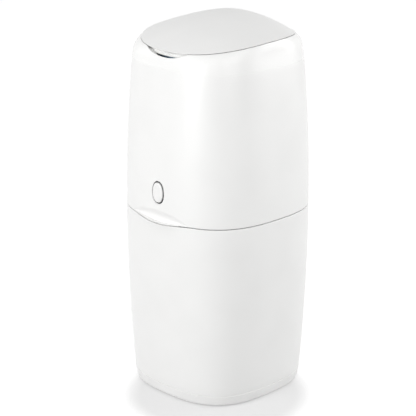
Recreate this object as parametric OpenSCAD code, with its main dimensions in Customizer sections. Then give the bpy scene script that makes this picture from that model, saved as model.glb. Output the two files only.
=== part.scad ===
// Nappy disposal bin: a lower bin, an upper housing hinged to it at the rear of the seam and held by a
// push-button latch, a domed lid, a film cassette, a pair of sprung clamp jaws and a film cutter.
// Millimetres, +Z up, origin on the floor under the middle of the bin, front towards -Y.

/* [Body] */
// Width and depth of the body at the seam
body_w = 240; // [225:1:280]
// Height of the seam between the lower bin and the upper housing
seam_z = 273; // [255:1:300]
// Height of the crease where the housing ends and the top collar begins
crease_z = 488; // [480:1:520]
// Bow radius of the lower bin's wall, seen from the side
lower_bow_r = 3350; // [2500:10:9000]
// Bow radius of the housing's wall, seen from the side
upper_bow_r = 3000; // [2500:10:9000]
// Inward lean of the housing's wall just above the seam, in degrees
upper_lean = 1.5; // [0.5:0.1:2]
// Squareness of the plan at the floor (2 is a circle)
base_power = 2.85; // [2.5:0.05:3.5]
// Squareness of the plan at the seam
seam_power = 2.75; // [2.5:0.05:3.5]
// Squareness of the plan at the crease
crease_power = 3.24; // [2.8:0.02:3.6]
// Wall thickness of the body
wall = 3; // [2.4:0.1:3.6]
// Thickness of the lower bin's floor
floor_t = 3; // [2:0.1:5]
// Open gap at the seam
seam_gap = 1.2; // [0.8:0.1:2]

/* [Plinth and feet] */
// Height of the plinth's top above the floor
plinth_h = 17.4; // [15:0.1:25]
// Width of the plinth near the floor
plinth_w = 215; // [200:1:222]
// How far the plinth stands out past the lower bin's wall
plinth_step = 0.4; // [0.2:0.1:1]
// Thickness of the plinth's plate
plinth_plate = 4; // [4:0.1:6]
// Radius of the plinth's bottom edge
plinth_round = 3; // [2:0.5:5]
// Height that the feet lift the plinth off the floor
foot_lift = 1.5; // [1:0.1:3]
// Radius of a rubber foot
foot_r = 9; // [6:0.5:12]
// Depth of the pocket that a foot sits in
foot_pocket = 2; // [1:0.1:2.4]
// Distance of each foot from the two middle planes
foot_place = 68; // [60:1:72]
// Distance of each plinth screw from the two middle planes
base_screw_place = 44; // [36:1:50]

/* [Rim, seal and hinge] */
// Thickness of the reinforced rims that face each other at the seam
rim_t = 7; // [6.5:0.1:9]
// Height of the lower bin's reinforced rim
rim_h = 22; // [20:1:26]
// Height of the housing's reinforced rim
upper_rim_h = 12; // [10:1:14]
// Height of the seal above its ledge
seal_h = 3.3; // [2.8:0.1:4]
// Play beside the seal
seal_play = 0.4; // [0.3:0.1:0.6]
// How far the front lips stand out at the seam
lip_out = 3.2; // [2.8:0.1:4]
// How far the seam dips at the front lips
lip_dip = 5; // [3:0.1:6]
// Half-width of the front lips
lip_half = 64; // [56:1:70]
// Height of the swelling above and below the seam
lip_h = 26; // [20:1:40]
// Radius of the main hinge's knuckles
knuckle_r = 3.2; // [2.8:0.1:3.6]
// Radius of the main hinge's pin
hinge_pin_r = 1.2; // [1:0.1:1.5]
// Half-width of the housing's middle knuckle
mid_knuckle_half = 11.5; // [9:0.5:14]
// Length of each outer knuckle
outer_knuckle_l = 22; // [16:1:26]
// Side gap between knuckles
knuckle_gap = 0.5; // [0.3:0.1:1]

/* [Finger catch and button] */
// Height of the finger catch at the middle
catch_h = 18.5; // [12:0.5:19]
// Half-width of the finger catch
catch_half = 54; // [46:1:55]
// Depth of the finger catch
catch_depth = 7.5; // [6:0.1:8.2]
// Height of the lip that is left below the finger catch
catch_lip = 1.4; // [1:0.1:2]
// Wall thickness behind the finger catch
catch_wall = 3.5; // [3:0.1:4]
// Height of the button's middle above the seam
button_up = 39.6; // [39:0.2:56]
// Width of the button
button_w = 19.2; // [17:0.1:22]
// Height of the button
button_h = 28.8; // [26:0.1:32]
// Roundness of the button's outline (2 is an ellipse)
button_power = 2.2; // [2:0.1:2.6]
// Gap around the button
button_gap = 2; // [1.4:0.1:2.4]
// Play between the button and the seal that fills its gap
button_play = 0.3; // [0.2:0.05:0.5]
// Thickness of that seal, from front to back
button_seal_t = 2.4; // [1.5:0.1:3]
// Distance of the seal behind the button's face
button_seal_in = 1.2; // [0.8:0.1:2]
// Thickness of the button's cap
cap_t = 7.5; // [6:0.1:8]
// Travel of the button
button_travel = 3.5; // [2:0.1:4]
// Radius of the button's stem
stem_r = 4; // [3:0.1:5]
// Radius of the narrow nose that pushes the latch lever
nose_r = 2.2; // [1.5:0.1:2.6]
// Length of that nose
nose_l = 4; // [3.8:0.1:6]
// Length of the button's guide tube behind the wall
guide_l = 18; // [17:0.5:20]
// Wall thickness of the guide tube
guide_wall = 2; // [1.5:0.1:3]
// Thickness of the guide tube's back plate
guide_back = 3; // [2:0.1:4]

/* [Latch] */
// Height of the latch lever's pivot above the button's middle
pivot_up = 33; // [28:1:40]
// Thickness of the latch lever
lever_t = 4; // [3:0.1:5]
// Width of the latch lever
lever_w = 19; // [14:0.5:20]
// Gap between the button's stem and the latch lever
stem_play = 0.3; // [0.2:0.05:0.5]
// Depth of the lever's hook below the seam
hook_down = 11; // [10:0.5:14]
// Height of the hook
hook_h = 5.7; // [4:0.1:6]
// Length of the hook in front of the lever
hook_l = 15; // [12:0.5:15.5]
// Radius of the latch pin
latch_pin_r = 2; // [1.5:0.1:2.5]
// Thickness of the two ears that hold the latch pin
ear_t = 3; // [2:0.1:4]
// Thickness of the sprung catch plate
catch_t = 1.2; // [0.8:0.1:1.5]
// Reach of the sprung catch over the hook
catch_reach = 8.7; // [7:0.1:9]

/* [Collar and lid] */
// Distance of the lid's edge inside the crease
lid_inset = 4.7; // [4.2:0.1:7]
// Squareness of the lid's plan
lid_power = 2.36; // [2.3:0.02:2.7]
// Gap between the lid and the collar
lid_gap = 0.6; // [0.5:0.1:1]
// Height of the highest line of the lid's seat above the crease
seat_up = 37.2; // [34:0.2:42]
// Distance of that line behind the middle
seat_back = 24.5; // [10:0.5:40]
// Radius of the curved line that the lid's edge follows
seat_r = 604; // [560:4:900]
// Height of the lid's dome above its edge
dome_h = 26.5; // [20:0.5:34]
// Roundness of the dome (1 is a cone, 2 is round)
dome_power = 1.6; // [1.5:0.05:2.2]
// Distance of the dome's crest behind the middle
crest_back = 25.7; // [10:0.1:32]
// Wall thickness of the lid
lid_t = 2.6; // [2:0.1:3]
// Height of the lid's skirt below its edge
skirt_h = 4.4; // [3:0.1:4.6]
// Depth of the collar's rebate below the lid's edge
rebate_h = 5; // [4.8:0.1:5.6]
// Width of the collar's rebate, from the lid's edge to the opening
rebate_w = 6; // [5:0.1:8]
// Height of the rounded part of the collar's shoulder
shoulder_h = 15; // [12:0.5:16]
// Inward slope of the collar's lower band
collar_slope = 0.105; // [0.05:0.005:0.14]
// Half-width of the finger scoop under the lid's front edge
scoop_half = 48; // [40:1:52]
// Depth of the finger scoop below the lid's front edge
scoop_h = 9; // [7:0.5:10]
// How far the finger scoop reaches behind the lid's front edge
scoop_in = 6; // [4:0.5:6.5]
// Radius of the lid's hinge knuckles
lid_knuckle_r = 3.4; // [3:0.1:3.8]
// Radius of the lid's hinge pin
lid_pin_r = 1; // [0.8:0.1:1.4]
// Half-width of the lid's knuckle
lid_knuckle_half = 10.2; // [8:0.2:12]
// Length of each of the collar's knuckles
collar_knuckle_l = 12; // [8:0.5:14]
// Gap between the lid's flat liner and the collar's opening
liner_gap = 5; // [3.5:0.1:9]
// Thickness of the lid's liner
liner_t = 2.5; // [2:0.1:3]

/* [Cassette and deck] */
// Distance of the deck's top below the crease
deck_down = 1; // [1:0.1:2]
// Thickness of the deck
deck_t = 3; // [2.5:0.1:4]
// Width of the housing's ledge that carries the deck
ledge_w = 10; // [9:0.5:12]
// Radius of the deck's throat
deck_throat = 58; // [54:0.5:60]
// Width of the film pack from its bore to its outside
film_w = 19; // [12:0.5:19]
// Gap between the film pack and the cassette's outer wall
film_gap = 1; // [0.5:0.1:2]
// Height of the deck's rim round the cassette
deck_rim_h = 6; // [4:0.5:8]
// Thickness of that rim
deck_rim_t = 2.4; // [2:0.1:3]
// Radius of the cassette's throat
cassette_throat = 60; // [56:0.5:64]
// Height of the cassette
cassette_h = 18.5; // [15:0.5:18.5]
// Wall thickness of the cassette
cassette_wall = 2; // [1.5:0.1:2.5]
// Thickness of the cassette's cover
cover_t = 2.5; // [2:0.1:3]
// Width of the slot that the film comes out of
film_slot = 4; // [3:0.5:6]
// Number of pleats in the film
pleats = 9; // [5:1:14]
// Height of the seal under the lid's liner
lid_seal_h = 2.7; // [2:0.1:3]
// Width of that seal where it meets the cassette
lid_seal_w = 2.5; // [2:0.1:4]
// Radius of the lid's bosses for the liner's screws
lid_boss_r = 4; // [3:0.1:5]
// Gap between those bosses and the seal
lid_boss_gap = 2.5; // [1:0.1:6]
// How far the liner's screws turn into their bosses
lid_screw_grip = 8; // [6:0.5:8]

/* [Clamp] */
// Gap between the clamp's frame and the ledge at each end
frame_gap = 8; // [7:0.1:11]
// Depth of the clamp's frame
frame_d = 124; // [120:1:126]
// Height of the clamp's frame
frame_h = 26; // [24:0.5:30]
// Thickness of the frame's end walls
frame_end = 4; // [3:0.5:5]
// Thickness of the frame's side walls
frame_side = 8; // [7.6:0.1:9]
// Width of the rails that the jaws slide on
rail_w = 5; // [4:0.5:8]
// Thickness of the rails
rail_t = 2.5; // [2:0.1:3.5]
// Running play of the jaws
jaw_play = 0.4; // [0.3:0.05:0.5]
// Height of a jaw
jaw_h = 20; // [16:0.5:20]
// How far a jaw's top slopes down towards its lip
jaw_drop = 7; // [5:0.5:8]
// Width of the flat on top of a jaw
jaw_top_w = 6; // [4:0.5:8]
// Width of a jaw's soft lip
lip_w = 4; // [3:0.5:6]
// How far the soft lip stops short of the jaw's edges
lip_short = 2; // [1:0.1:3]
// Travel of each jaw
jaw_travel = 32; // [20:1:32]
// Length of a jaw spring when its jaw is fully open
spring_pressed = 14; // [12:0.5:18]
// Outer radius of the jaw springs
jaw_spring_r = 5; // [3.5:0.5:6]
// Wire thickness of the jaw springs
jaw_wire = 1.2; // [1:0.1:1.6]
// Distance of the jaw springs from the middle plane
jaw_spring_place = 35; // [25:1:42]

/* [Cutter] */
// Length of the cutter's arm from its pivot to its grip
cutter_l = 118; // [90:1:125]
// Width of the cutter's arm
cutter_w = 10; // [9:0.5:12]
// Thickness of the cutter's arm
cutter_t = 8; // [6:0.5:9]
// Gap between the cutter's arm and the frame
cutter_play = 1; // [0.5:0.1:2]
// Radius of the cutter's pin
cutter_pin_r = 2.5; // [2:0.1:3]
// Length of the blade
blade_l = 80; // [50:1:84]
// How far the blade stands out past the arm
blade_out = 6; // [3:0.5:8]
// Thickness of the blade
blade_t = 0.8; // [0.6:0.1:1.2]
// Radius of the cutter's grip
grip_r = 6; // [5:0.5:8]
// Height of the cutter's grip
grip_h = 11; // [8:0.5:16]

/* [Screws and fits] */
// Shank radius of a large screw
screw_r = 1.75; // [1.5:0.05:2]
// Head radius of a large screw
screw_head_r = 3.5; // [3:0.1:3.6]
// Head height of a large screw
screw_head_h = 2; // [1.5:0.1:2.2]
// Length of the screws that hold the plinth
base_screw_l = 12; // [9:0.5:14]
// Length of the screws that hold the deck and the collar
deck_screw_l = 16; // [12:0.5:17]
// Radius of the bosses that large screws turn into
boss_r = 5; // [4:0.1:6]
// Shank radius of a small screw
small_r = 1.25; // [1:0.05:1.4]
// Head radius of a small screw
small_head_r = 2.4; // [2:0.1:2.8]
// Head height of a small screw
small_head_h = 1.4; // [1:0.1:1.6]
// Radial clearance of pins in their knuckles
pin_fit = 0.03; // [0.02:0.01:0.08]
// Radial clearance of screws in their holes
screw_fit = 0.1; // [0.05:0.05:0.3]
// Clearance of seated parts
seat_fit = 0.3; // [0.2:0.05:0.4]

/* [Hidden] */
$fn = 64;
// Points round each moulded ring, and levels up each wall
ring_points = 72;
wall_levels = 9;
half = body_w / 2;
lower_top = seam_z - seam_gap / 2;
upper_base = seam_z + seam_gap / 2;
seal_ledge = upper_base - seat_fit - seal_h;
hinge_y = half;
button_z = seam_z + button_up;
pivot_z = button_z + pivot_up;
button_y = -half_at(button_z);
guide_end = button_y + wall - 1 + guide_l;
stem_end = guide_end + button_travel;
lever_y = stem_end + stem_play;
lever_base = seam_z - hook_down;
ear_gap = lever_w / 2 + 1;
catch_z = lever_base + hook_h + seat_fit;
catch_back = -half_at(catch_z) + rim_t + seat_fit;
catch_w = lever_w - 1;
catch_down = 16;
catch_screw_z = catch_z - 9;
catch_screw_x = 5;
tube_w = button_w + 2 * button_gap;
tube_h = button_h + 2 * button_gap;
seat_top = crease_z + seat_up;
collar_half = half_at(crease_z);
lid_half = collar_half - lid_inset;
collar_open = lid_half - rebate_w;
liner_half = collar_open - liner_gap;
front_edge = seat_at(-lid_half);
lid_axis = [lid_half + lid_knuckle_r + 0.2, seat_at(lid_half) - 1.2];
deck_top = crease_z - deck_down;
film_in = cassette_throat + cassette_wall + film_slot;
cassette_r = film_in + film_w + film_gap + cassette_wall;
seal_middle = (cassette_r + cassette_throat) / 2;
deck_z = deck_top - deck_t;
frame_w = 2 * (half_at(deck_z) - wall - ledge_w - frame_gap);
ledge_z = deck_z - 3;
deck_screw_place = (half_at(deck_z) - wall - ledge_w / 2) * pow(0.5, 1 / crease_power);
frame_z = deck_z - frame_h;
jaw_z = frame_z + rail_t + jaw_play;
jaw_half_d = frame_d / 2 - frame_side - jaw_play;
frame_inner = frame_w / 2 - frame_end;
jaw_w = frame_inner - jaw_travel - spring_pressed;
clamp_screw = [frame_w * 0.32, frame_d / 2 - frame_side / 2];
cutter_pivot = [-frame_w / 2 + 12, -frame_d / 2 + 5];
cutter_top = frame_z - cutter_play;
cutter_z = cutter_top - cutter_t;
blade_start = 24;
liner_z = deck_top + cassette_h + lid_seal_h + seat_fit;
// Share of the lid at which its bosses stand clear of the seal
boss_reach = seal_middle - 1 - lid_boss_gap - lid_boss_r;
boss_shift = crest_back * (1 - pow(0.5, 1.5));
lid_boss_share = (sqrt(2 * pow(boss_reach, 2) - pow(boss_shift, 2)) - boss_shift)
  / (2 * lid_half * pow(0.5, 1 / lid_power));
// How far a cut runs past the faces that it opens
past = 9;

// Value part of the way from a to b
function mix(a, b, share) = a + (b - a) * share;
// Half-width of the body's outer face at a height
function half_at(z) = half - (z < seam_z
  ? pow(seam_z - z, 2) / (2 * lower_bow_r)
  : (z - seam_z) * tan(upper_lean) + pow(z - seam_z, 2) / (2 * upper_bow_r));
// Squareness of the body's plan at a height
function power_at(z) = z < seam_z
  ? mix(base_power, seam_power, max(0, z) / seam_z)
  : mix(seam_power, crease_power, min(1, (z - seam_z) / (crease_z - seam_z)));
// Height of the lid's edge at a distance behind the middle
function seat_at(y) = seat_top - pow(y - seat_back, 2) / (2 * seat_r);
// Point of a rounded square of half-width 1, by angle
function round_square(t, power) = [
  sign(cos(t)) * pow(abs(cos(t)), 2 / power),
  sign(sin(t)) * pow(abs(sin(t)), 2 / power)
];
function angles() = [for (i = [0:ring_points - 1]) 360 * i / ring_points];
// Flat ring of a given half-width
function ring(h, power, z) = [for (t = angles()) let (p = round_square(t, power)) [h * p[0], h * p[1], z]];
// Ring of the body's own plan, set in from its outer face
function body_ring(z, inset) = ring(half_at(z) - inset, power_at(z), z);
// Stack of body rings between two heights
function body_wall(z0, z1, inset, levels) = [for (i = [0:levels]) body_ring(mix(z0, z1, i / levels), inset)];
// Ring that follows the lid's seat, raised or lowered by up
function seat_ring(h, power, up) = [
  for (t = angles()) let (p = round_square(t, power)) [h * p[0], h * p[1], seat_at(h * p[1]) + up]
];
// Share of the front lips at a point: 1 in the middle of the front, 0 from their ends on
function lip_share(p) = p[1] > 0 || abs(p[0]) > lip_half ? 0 : pow(cos(90 * p[0] / lip_half), 2);
// Rings of the outer faces: swollen near the seam, and dipped where they are the seam's own edge
function swollen(points) = [
  for (p = points) let (near = min(1, max(0, 1 - (abs(p[2] - seam_z) - seam_gap / 2) / lip_h)))
    [p[0], p[1] - lip_out * lip_share(p) * near * near, p[2]]
];
function dipped(points) = [for (p = points) [p[0], p[1], p[2] - lip_dip * lip_share(p)]];
// Point of the lid's outer face: share 0 is the crest and 1 the edge
function lid_point(share, t) = let (
  p = round_square(t, lid_power),
  x = lid_half * share * p[0],
  y = lid_half * share * p[1] + crest_back * (1 - pow(share, 1.5))
) [x, y, seat_at(y) + dome_h * (1 - pow(share, dome_power))];
function lid_ring(share, down) = [for (t = angles()) lid_point(share, t) - [0, 0, down]];
// Collar: lower edge of the rounded shoulder, its control ring and the edge beside the lid
function shoulder_low(t) = let (
  edge = seat_ring_point(lid_half + lid_gap, lid_power, t),
  z = edge[2] - shoulder_h,
  p = round_square(t, crease_power),
  h = collar_half - (z - crease_z) * collar_slope
) [h * p[0], h * p[1], z];
function seat_ring_point(h, power, t) = let (p = round_square(t, power))
  [h * p[0], h * p[1], seat_at(h * p[1])];
function shoulder_ring(share) = [
  for (t = angles()) let (
    low = shoulder_low(t),
    edge = seat_ring_point(lid_half + lid_gap, lid_power, t),
    inner = mix(low, edge, 0.22),
    control = [inner[0], inner[1], edge[2] - 5.5]
  ) pow(1 - share, 2) * low + 2 * share * (1 - share) * control + share * share * edge
];

// Faces between neighbouring rings
function band(j0, j1, n) = [
  for (i = [0:n - 1]) let (k = (i + 1) % n)
    each [[j0 * n + i, j1 * n + i, j1 * n + k], [j0 * n + i, j1 * n + k, j0 * n + k]]
];
// Solid with a flat or fanned cap on its first and last ring
module capped(rings) {
  n = len(rings[0]);
  last = len(rings) - 1;
  polyhedron(
    points = [for (r = rings) each r],
    faces = concat(
      [[for (i = [0:n - 1]) i]],
      [for (j = [0:last - 1]) each band(j, j + 1, n)],
      [[for (i = [n - 1:-1:0]) last * n + i]]
    )
  );
}
// Closed loop of rings, whose last ring joins the first
module looped(rings) {
  n = len(rings[0]);
  count = len(rings);
  polyhedron(
    points = [for (r = rings) each r],
    faces = [for (j = [0:count - 1]) each band(j, (j + 1) % count, n)]
  );
}
// Upright screw with its head at the bottom
module screw_up(head_r, head_h, shank_r, length) {
  cylinder(r = head_r, h = head_h);
  cylinder(r = shank_r, h = length);
}
// Children copied to the four corners of a square
module four(place) {
  for (x = [-place, place], y = [-place, place]) translate([x, y, 0]) children();
}
// Shaft along X, centred on the middle plane
module shaft_x(r, length) rotate([0, 90, 0]) cylinder(r = r, h = length, center = true);
// Shaft along +Y from the origin
module shaft_y(r, length) rotate([-90, 0, 0]) cylinder(r = r, h = length);
// Upright oval, extruded along +Y from the origin
module oval_y(width, height, length) {
  rotate([90, 0, 0]) translate([0, 0, -length]) linear_extrude(length) polygon([
    for (t = angles()) let (p = round_square(t, button_power)) [width / 2 * p[0], height / 2 * p[1]]
  ]);
}
// Box between two corners
module box(low, high) translate(low) cube(high - low);
// Rectangle with round corners
module soft_rect(w, d, r) {
  square([w, d - 2 * r], center = true);
  square([w - 2 * r, d], center = true);
  for (x = [-1, 1], y = [-1, 1]) translate([x * (w / 2 - r), y * (d / 2 - r)]) circle(r = r);
}

// ---------- Lower bin ----------
module lower_shell() {
  color("white") difference() {
    union() {
      capped(concat(
        body_wall(plinth_h, lower_top - lip_h, 0, wall_levels - 1),
        [for (share = [0.3, 0.5, 0.65]) swollen(body_ring(lower_top - lip_h * (1 - share), 0))],
        [dipped(swollen(body_ring(lower_top, 0))), dipped(body_ring(lower_top, wall))],
        [body_ring(seal_ledge, wall), body_ring(seal_ledge, rim_t)],
        [body_ring(lower_top - rim_h, rim_t)],
        body_wall(lower_top - rim_h - rim_t + wall, plinth_h + floor_t, wall, wall_levels - 2)
      ));
      four(base_screw_place) translate([0, 0, foot_lift + plinth_plate])
        cylinder(r = boss_r, h = plinth_h - foot_lift - plinth_plate + floor_t / 2);
      for (s = [-1, 1]) translate([s * (mid_knuckle_half + knuckle_gap + outer_knuckle_l / 2), hinge_y, seam_z])
        shaft_x(knuckle_r, outer_knuckle_l);
    }
    translate([0, hinge_y, seam_z]) shaft_x(hinge_pin_r + pin_fit, body_w);
    box([-mid_knuckle_half - knuckle_gap, hinge_y - knuckle_r - 0.2, seam_z - knuckle_r - knuckle_gap],
        [mid_knuckle_half + knuckle_gap, hinge_y + past, seam_z + past]);
    four(base_screw_place) translate([0, 0, foot_lift + plinth_plate - 1])
      cylinder(r = screw_r + screw_fit, h = base_screw_l - plinth_plate + 2);
    for (x = [-catch_screw_x, catch_screw_x]) translate([x, catch_back - 6, catch_screw_z])
      shaft_y(small_r + screw_fit, 8);
  }
}
module base_plinth() {
  low = plinth_w / 2;
  top = half_at(plinth_h) + plinth_step;
  power = base_power;
  color("white") difference() {
    capped(concat(
      [for (a = [0:30:90]) ring(low - plinth_round * (1 - sin(a)), power,
        foot_lift + plinth_round * (1 - cos(a)))],
      [ring(top, power, plinth_h), ring(top - wall, power, plinth_h)],
      [ring(low - wall, power, foot_lift + plinth_plate)]
    ));
    four(foot_place) cylinder(r = foot_r + screw_fit, h = foot_lift + foot_pocket);
    four(base_screw_place) cylinder(r = screw_r + screw_fit, h = plinth_h);
    four(base_screw_place) cylinder(r = screw_head_r + screw_fit, h = foot_lift + screw_head_h);
  }
}
module rubber_feet() {
  bevel = 0.6;
  color("dimgray") four(foot_place) {
    cylinder(r1 = foot_r - bevel, r2 = foot_r, h = bevel);
    translate([0, 0, bevel]) cylinder(r = foot_r, h = foot_lift + foot_pocket - bevel);
  }
}
module base_screws() {
  color("silver") four(base_screw_place) translate([0, 0, foot_lift])
    screw_up(screw_head_r, screw_head_h, screw_r, base_screw_l);
}
module rim_seal() {
  bead = 0.8;
  top = seal_ledge + seal_h;
  outer = wall + seal_play;
  inner = rim_t - seal_play;
  color("gray") looped([
    body_ring(seal_ledge, outer), body_ring(top - bead, outer), body_ring(top, outer + bead),
    body_ring(top, inner - bead), body_ring(top - bead, inner), body_ring(seal_ledge, inner)
  ]);
}
module catch_spring() {
  front = catch_back + catch_t;
  color("silver") difference() {
    union() {
      box([-catch_w / 2, catch_back, catch_z - catch_down], [catch_w / 2, front, catch_z + catch_t]);
      box([-catch_w / 2, catch_back, catch_z], [catch_w / 2, catch_back + catch_reach, catch_z + catch_t]);
    }
    for (x = [-catch_screw_x, catch_screw_x]) translate([x, catch_back - 1, catch_screw_z])
      shaft_y(small_r + screw_fit, 4);
  }
}
module catch_screws() {
  color("silver") for (x = [-catch_screw_x, catch_screw_x]) {
    translate([x, catch_back - 5, catch_screw_z]) shaft_y(small_r, 5 + catch_t);
    translate([x, catch_back + catch_t, catch_screw_z]) shaft_y(small_head_r, small_head_h);
  }
}
module main_hinge_pin() {
  color("silver") translate([0, hinge_y, seam_z])
    shaft_x(hinge_pin_r, 2 * (mid_knuckle_half + knuckle_gap + outer_knuckle_l));
}

// ---------- Upper housing ----------
// Section of the finger catch at a place across the front: it slopes in from the lip and overhangs at the top
function catch_section(x) = let (
  narrow = 1 - pow(x / catch_half, 2),
  face = -half * pow(1 - pow(abs(x) / half, seam_power), 1 / seam_power),
  floor_z = upper_base - lip_dip * lip_share([x, face]) + catch_lip,
  high = max(0.2, catch_h * narrow),
  levels = [0, 0.14, 0.26, 0.38, 0.5, 0.62, 0.74, 0.85, 0.93, 1]
) concat(
  [[x, face - 2 * lip_out, floor_z + high], [x, face - 2 * lip_out, floor_z]],
  [for (v = levels) [
    x,
    face - 0.3 + (catch_depth + 0.3) * sqrt(narrow) * pow(sin(180 * pow(v, 1.45)), 1.3),
    floor_z + high * v
  ]]
);
module catch_cut() {
  capped([for (i = [-12:12]) catch_section(catch_half * sin(i * 7.5) * 0.999)]);
}
module upper_shell() {
  ledge_in = wall + ledge_w;
  skirt = wall - 0.3;
  back_z = upper_base + catch_h - lip_dip + catch_lip;
  color("white") difference() {
    union() {
      looped(concat(
        [dipped(swollen(body_ring(upper_base, 0)))],
        [for (share = [0.65, 0.5, 0.3]) swollen(body_ring(upper_base + lip_h * (1 - share), 0))],
        body_wall(upper_base + lip_h, crease_z, 0, wall_levels - 1),
        [body_ring(crease_z, wall), body_ring(deck_z, wall), body_ring(deck_z, ledge_in)],
        [body_ring(ledge_z, ledge_in)],
        body_wall(ledge_z - ledge_w, upper_base + upper_rim_h + rim_t - wall, wall, wall_levels - 1),
        [body_ring(upper_base + upper_rim_h, rim_t), body_ring(upper_base, rim_t)],
        [body_ring(upper_base, skirt), dipped(body_ring(upper_base - 0.01, skirt))]
      ));
      // Backing behind the finger catch
      intersection() {
        translate([-catch_half - 4, 0, 0]) rotate([90, 0, 90]) linear_extrude(2 * catch_half + 8) polygon([
          [-half, back_z + 3], [-half, upper_base], [-half + catch_depth + catch_wall, upper_base],
          [-half + catch_depth + catch_wall, back_z - 3], [-half + wall + 1.5, back_z + 3]
        ]);
        capped([for (z = [upper_base, back_z + 4]) body_ring(z, wall / 2)]);
      }
      // Guide tube of the button
      translate([0, button_y + wall - 1, button_z])
        oval_y(tube_w + 2 * guide_wall, tube_h + 2 * guide_wall, guide_l);
      // Ears of the latch pin
      for (s = [-1, 1]) translate([s * (ear_gap + ear_t / 2), 0, 0])
        box([-ear_t / 2, -half_at(pivot_z) + wall - 1, pivot_z - 7],
            [ear_t / 2, lever_y + lever_t / 2 + 5, pivot_z + 7]);
      translate([0, hinge_y, seam_z]) shaft_x(knuckle_r, 2 * mid_knuckle_half);
    }
    catch_cut();
    translate([0, button_y - 2, button_z])
      oval_y(tube_w, tube_h, 2 + wall - 1 + guide_l - guide_back);
    translate([0, button_y, button_z]) shaft_y(stem_r + pin_fit, guide_l + wall);
    translate([0, lever_y + lever_t / 2, pivot_z]) shaft_x(latch_pin_r + pin_fit, 2 * ear_gap + 4 * ear_t);
    translate([0, hinge_y, seam_z]) shaft_x(hinge_pin_r + pin_fit, body_w);
    for (s = [-1, 1]) translate([s * (mid_knuckle_half + knuckle_gap + outer_knuckle_l / 2), 0, 0])
      box([-outer_knuckle_l / 2 - knuckle_gap, hinge_y - knuckle_r - knuckle_gap, seam_z - past],
          [outer_knuckle_l / 2 + knuckle_gap, hinge_y + past, seam_z + knuckle_r + knuckle_gap]);
    four(deck_screw_place) translate([0, 0, ledge_z - 12]) cylinder(r = screw_r + screw_fit, h = 20);
    four(deck_screw_place) translate([0, 0, ledge_z - 14]) cylinder(r = screw_head_r + 0.4, h = 14);
  }
}
module top_collar() {
  tongue_out = collar_half - wall - seat_fit;
  tongue_in = tongue_out - 2.6;
  notch = lid_knuckle_half + knuckle_gap;
  scoop_r = (pow(scoop_half, 2) + pow(scoop_h, 2)) / (2 * scoop_h);
  color("white") difference() {
    union() {
      looped(concat(
        [ring(collar_half, crease_power, crease_z)],
        [for (share = [0:0.25:1]) shoulder_ring(share)],
        [seat_ring(lid_half + lid_gap - 0.1, lid_power, -rebate_h)],
        [seat_ring(collar_open, lid_power, -rebate_h), seat_ring(collar_open, lid_power, -rebate_h - 2.5)],
        [[for (t = angles()) let (p = round_square(t, crease_power), h = tongue_in - 0.6)
          [h * p[0], h * p[1], seat_at(h * p[1]) - rebate_h - 8]]],
        [ring(tongue_in, crease_power, deck_top), ring(tongue_out, crease_power, deck_top)],
        [ring(tongue_out, crease_power, crease_z)]
      ));
      four(deck_screw_place) translate([0, 0, deck_top]) cylinder(r = boss_r, h = deck_screw_l - 3);
      // Backing behind the finger scoop
      intersection() {
        box([-scoop_half - 6, -half, front_edge - scoop_h - 3.5],
            [scoop_half + 6, -lid_half + scoop_in + 2.5, front_edge - rebate_h - 0.1]);
        capped([for (z = [crease_z, front_edge]) ring(collar_half - 3.5, crease_power, z)]);
      }
      for (s = [-1, 1]) translate([s * (notch + collar_knuckle_l / 2), 0, 0]) {
        translate([0, lid_axis[0], lid_axis[1]]) shaft_x(lid_knuckle_r, collar_knuckle_l);
        box([-collar_knuckle_l / 2, lid_half + lid_gap + 0.2, lid_axis[1] - 11],
            [collar_knuckle_l / 2, lid_axis[0], lid_axis[1]]);
      }
    }
    four(deck_screw_place) translate([0, 0, deck_top - 1])
      cylinder(r = screw_r + screw_fit, h = deck_screw_l - 5);
    box([-notch, collar_open - 3, lid_axis[1] - lid_knuckle_r - knuckle_gap], [notch, half, seat_top + past]);
    translate([0, lid_axis[0], lid_axis[1]]) shaft_x(lid_pin_r + pin_fit, body_w);
    // Finger scoop
    translate([0, -half - past, front_edge - scoop_h + scoop_r])
      shaft_y(scoop_r, half + past - lid_half + scoop_in);
  }
}
module cassette_deck() {
  outer = half_at(deck_z) - wall - seat_fit;
  rim_in = cassette_r + seat_fit;
  color("whitesmoke") difference() {
    union() {
      capped([ring(outer, crease_power, deck_z), ring(outer, crease_power, deck_top)]);
      translate([0, 0, deck_z]) cylinder(r = rim_in + deck_rim_t, h = deck_t + deck_rim_h);
    }
    translate([0, 0, deck_top]) cylinder(r = rim_in, h = deck_rim_h + past);
    translate([0, 0, deck_z - past]) cylinder(r = deck_throat, h = deck_t + 2 * past);
    four(deck_screw_place) translate([0, 0, deck_z - past])
      cylinder(r = screw_r + screw_fit, h = deck_t + 2 * past);
    for (x = [-1, 1], y = [-1, 1]) translate([x * clamp_screw[0], y * clamp_screw[1], deck_z - 1])
      cylinder(r = screw_r + screw_fit, h = deck_t - 0.5);
  }
}
module deck_screws() {
  color("silver") four(deck_screw_place) translate([0, 0, ledge_z - screw_head_h])
    screw_up(screw_head_r, screw_head_h, screw_r, deck_screw_l);
}
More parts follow.
